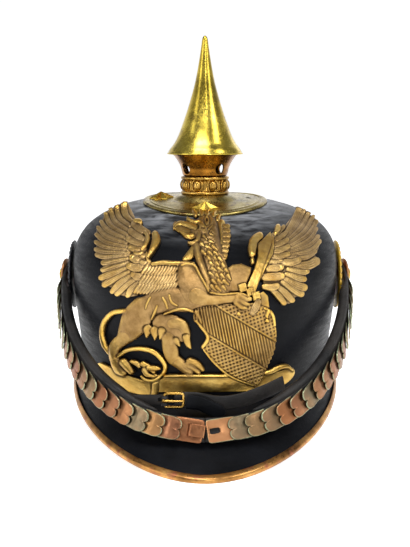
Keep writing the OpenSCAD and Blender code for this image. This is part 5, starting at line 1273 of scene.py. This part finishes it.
def drawForms(sheet, drawing):
    # patches first, then strokes along smooth lines; across a stroke its height is low + (high - low) (1 - q^2)^power
    for kind, corners in drawing.get("patches", {}).items():
        drawPatch(sheet, drawing, kind, corners)
    for kind, route in [(kind, route) for kind, *routes in drawing["forms"] for route in routes]:
        low, high, power, polish, groove, lines = kinds[kind]
        route = np.reshape(route, (-1, 3))
        route = smoothLine(route, 5 * (len(route) - 1) + 2) / drawing["enlarge"]
        line, width = route[:, :2] + drawing["corner"], route[:, 2]
        where = windowOf(sheet, line, width.max() + plate["margin"])
        inside, share, across, wide = strokeField(sheet["x"][where], sheet["y"][where], line, width)
        q = np.clip(across / wide, -1, 1)
        height = mix(low, high, np.maximum(1 - q * q, 0) ** power)
        if lines:
            # shaft and side lines of a feather, and fine barbs slanting off the shaft
            length = np.hypot(*np.diff(line, axis=0).T).sum()
            for place in np.linspace(-0.5, 0.5, lines + 1):
                height = height - 0.38 * bell(q, place, 0.09) * np.clip((0.93 - share) / 0.1, 0, 1)
            height = height + 0.14 * np.sin(2 * np.pi * (share * length - 0.9 * np.abs(across)) / 1.5)
        if kind in ("body", "muscle", "limb"):
            # flesh runs together with what is beside it: the smooth maximum (a + b + |(a - b, k)|) / 2
            h = sheet["h"][where]
            height = (h + height + np.hypot(h - height, 0.3)) / 2
        lay(sheet, where, inside, height, polish, groove, drawing["owner"])


def polygonField(x, y, corners):
    # signed distance to a closed outline, above zero inside it (even-odd rule)
    nearest = np.full(x.shape, 1e9)
    inside = np.zeros(x.shape, bool)
    for a, b in zip(corners, np.roll(corners, -1, 0)):
        d = b - a
        f = np.clip(((x - a[0]) * d[0] + (y - a[1]) * d[1]) / (d @ d + 1e-9), 0, 1)
        nearest = np.minimum(nearest, np.hypot(x - a[0] - f * d[0], y - a[1] - f * d[1]))
        crosses = (a[1] > y) != (b[1] > y)
        inside ^= crosses & (x < a[0] + (y - a[1]) * d[0] / (d[1] if abs(d[1]) > 1e-9 else 1e-9))
    return np.where(inside, nearest, -nearest)


def drawPatch(sheet, drawing, kind, corners, detail=None):
    # an outlined area: its height rises as a quarter circle from low at its edge to high at the bevel's width
    low, high, bevel, polish, groove = patchKinds[kind]
    corners = np.reshape(corners, (-1, 2)) / drawing["enlarge"] + drawing["corner"]
    where = windowOf(sheet, corners, plate["margin"])
    x, y = sheet["x"][where], sheet["y"][where]
    inside = polygonField(x, y, corners)
    height = mix(low, high, rounded(1 - inside / bevel))
    if detail:
        u, v = (x - drawing["corner"][0]) * drawing["enlarge"], (y - drawing["corner"][1]) * drawing["enlarge"]
        height = height + detail(u, v, inside)
    lay(sheet, where, inside, height, polish, groove, drawing["owner"])


wingRows = {"shape": [[2.5, -4.0, 1.4], [0, 0, 1.9], [-3.2, 4.6, 1.3]],
            "rows": [(175, 288, 139, 288, 13), (177, 279, 144, 279, 12), (176, 271, 146, 270, 11)]}


def drawRows(sheet):
    # three rows of little feathers under the wing's bone, the lowest first, each pointing down and back: a row is
    # two ends and a count, and it sags by 1.5 sin 3s at its share s
    feathers = [np.array(wingRows["shape"]) + [mix(x0, x1, s), mix(y0, y1, s) + 1.5 * math.sin(3 * s), 0]
                for x0, y0, x1, y1, count in wingRows["rows"] for s in np.linspace(0, 1, count)]
    drawForms(sheet, {"corner": (0, 0), "enlarge": 1.0, "owner": 0, "forms": [("small", *feathers)]})


def shieldDetail(u, v, inside):
    # a hatched bend between two lines, each (u - x) a + (v - y) b = 0, and punched dots on the fields beside it
    upper, lower = ((u - x) * a + (v - y) * b for x, y, a, b in shield["bendLines"])
    over = np.maximum(upper, lower)
    hatch = 0.42 * np.cos(2 * np.pi * ((u - 0.19 * v) / 38.0)) * np.clip(-over / 12, 0, 1)
    lines = sum(0.4 * bell(line, 22, 10) - 0.5 * bell(line, 0, 7) for line in (upper, lower))
    pitchA, pitchB, dot = shield["dots"]
    a, b = (u * 0.87 + v * 0.5) / pitchA, (v * 0.87 - u * 0.5) / pitchB
    a = a + 0.5 * (np.floor(b) % 2)
    dots = -0.75 * bell((a % 1) * pitchA, pitchA / 2, dot) * bell((b % 1) * pitchB, pitchB / 2, dot)
    swell = 0.5 * np.cos(np.clip((u - 650) / 620, -1, 1) * np.pi / 2)
    return np.where(over < 0, hatch, np.where(over > 26, dots, 0)) + lines + swell - 0.4 * bell(inside, 1.6, 0.35)


def drawShield(sheet):
    # heater shield with a scrolled left edge
    outline = smoothLine(np.reshape(shield["outline"], (-1, 2)), 150)[:-1]
    drawPatch(sheet, shield, "shieldCorner", shield["scroll"])
    drawPatch(sheet, shield, "shieldFace", outline, shieldDetail)
    drawForms(sheet, shield)


def bladeDetail(u, v, inside):
    # a ridge along the line from foot to tip, and a groove beside it: off is the distance from that line
    d = unit(np.subtract(sword["tip"], sword["foot"]))
    off = (u - sword["foot"][0]) * d[1] - (v - sword["foot"][1]) * d[0]
    return 0.9 * np.clip(1 - np.abs(off) / 120, 0, 1) - 0.5 * bell(off, -68, 9)


def guardDetail(u, v, inside):
    # a line punched round inside the edge
    return -0.5 * bell(inside, 1.1, 0.3)


def drawSword(sheet):
    # broad blade with a ridge down its middle, the guard's three squares, and a feather over the hilt
    drawPatch(sheet, sword, "blade", sword["blade"], bladeDetail)
    for x, y, size in swordGuard["squares"]:
        square = polar(30 + 90 * np.arange(4), size, 0.0)[:, :2] + [x, y]
        drawPatch(sheet, swordGuard, "guard", square, guardDetail)
    drawForms(sheet, hiltFeather)


def carryToSkull(x, y):
    # the camera's ray through each image point, cut with the skull by halving the distance range
    f = view["lens"] / view["sensor"] * view["imageHeight"]
    tilt = math.radians(view["tilt"])
    up, ahead = np.array([0, math.cos(tilt), math.sin(tilt)]), np.array([0, math.sin(tilt), -math.cos(tilt)])
    right, down = (x - view["middle"][0]) / f, (y - view["middle"][1]) / f
    ray = right[..., None] * [1.0, 0, 0] - down[..., None] * up + ahead
    eye = np.array(view["place"]) / metre
    near, far = np.full(x.shape, plate["near"]), np.full(x.shape, plate["far"])
    for _ in range(plate["halvings"]):
        middle = (near + far) / 2
        p = eye + middle[..., None] * ray
        r = np.hypot(p[..., 0], p[..., 1])
        az = np.degrees(np.arctan2(p[..., 1], p[..., 0]))
        z = p[..., 2]
        for _ in range(3):
            z = p[..., 2] - skull["lean"] * r * np.sin(np.radians(az)) * climb(az, z)
        outside = r > skullR(az, z)
        near, far = np.where(outside, middle, near), np.where(outside, far, middle)
    # the wing tips don't follow the dome to the back: the distance levels off, d0 + k tanh((d - d0) / k)
    start, by = plate["bendFrom"], plate["bendBy"]
    near = np.where(near > start, start + by * np.tanh((near - start) / by), near)
    p = eye + near[..., None] * ray
    return p, unit(np.cross(np.gradient(p, axis=0), np.gradient(p, axis=1)))


def blurred(values, reach):
    # mean over a square window, done twice along each axis
    for axis in (0, 1, 0, 1):
        n = values.shape[axis]
        total = np.cumsum(np.pad(values, [(reach + 1, reach) if k == axis else (0, 0) for k in (0, 1)], mode="edge"),
                          axis=axis)
        first = np.arange(n)
        values = (np.take(total, first + 2 * reach + 1, axis) - np.take(total, first, axis)) / (2 * reach + 1)
    return values


def makePlate():
    # drawn from the back to the front, carried to the skull, and parted by owner into four closed pieces
    sheet = newSheet()
    drawForms(sheet, scrollBand)
    drawForms(sheet, leftWing)
    drawRows(sheet)
    for drawing in (rightWing, griffinHead, torso, hind):
        drawForms(sheet, drawing)
    drawShield(sheet)
    drawForms(sheet, foreleg)
    drawSword(sheet)
    inside, h, step = sheet["inside"], sheet["h"], plate["step"]
    # hollows, which get painted shade, and raised places: how far the height is under or over its mean round about
    gap = (blurred(h, plate["blur"]) - h) / plate["depth"]
    values = {"hollow": np.clip(gap, 0, 1), "raised": np.clip(-gap, 0, 1), "polish": sheet["polish"]}
    # outline: grid points just outside slide onto the edge of the drawing
    gradY, gradX = np.gradient(inside, step)
    slide = np.clip(-inside, 0, 0.6) / np.maximum(gradX ** 2 + gradY ** 2, 0.25)
    slide = np.where((inside < 0) & (inside > -1.5 * step), slide, 0)
    p, normal = carryToSkull(sheet["x"] + slide * gradX, sheet["y"] + slide * gradY)
    front = (p + (plate["front"] + h)[..., None] * normal).reshape(-1, 3)
    back = (p + plate["back"] * normal).reshape(-1, 3)
    cells = gridFaces(*h.shape)
    deep = inside.ravel()[cells]
    kept = (deep.max(1) > 0.05) & (deep.min(1) > -0.75 * step)
    owner = sheet["owner"].ravel()[cells[np.arange(len(cells)), deep.argmax(1)]]
    for k, (name, finish) in enumerate(plate["pieces"].items()):
        used, local = np.unique(cells[kept & (owner == k)], return_inverse=True)
        local, n = local.reshape(-1, 4), len(used)
        # sides that no neighbour shares get a wall between front and back
        sides = np.concatenate([local[:, [i, (i + 1) % 4]] for i in range(4)])
        openSides = sides[~np.isin(sides @ [n, 1], sides @ [1, n])]
        wall = np.concatenate([openSides[:, ::-1], openSides + n], 1)
        layers = {key: np.concatenate([v.ravel()[used], np.zeros(n)]) for key, v in values.items()}
        shape = np.vstack([front[used], back[used]]), [local, local[:, ::-1] + n, wall]
        putMesh(name, [shape], finish, "helmet_plate", layers)
        print(name, "quads", 2 * len(local) + len(wall))


makeCamera()
makeLight()
makeFloor()
makeSkull()
makeBrim(True)
makeBrim(False)
makeTrim()
print("leather body made")
makeBasePlate()
makeStars()
makeNeck()
makePearlRing()
makeSpike()
print("crown made")
makeStraps()
makeScales()
makeEndPlates()
makeRosettes()
makeCockades()
makeBuckle()
makeBuckleLeather()
print("straps made")
makeSpine()
makeSweatband()
makeSilk()
print("inside made")
makePlate()
print("plate made")

nodeFinish = {"spine_screws": "brass", "spine_nuts": "steel", "star_stud_nuts": "steel", "plate_studs": "brass",
              "plate_nuts": "steel", "side_bolts": "brass", "side_nuts": "steel", "spike_socket": "steel",
              "spike_screw": "steel", "buckle_strap": "strapLeather"}
for name, finish in nodeFinish.items():
    nodes[name].data.materials.clear()
    nodes[name].data.materials.append(materials[finish])
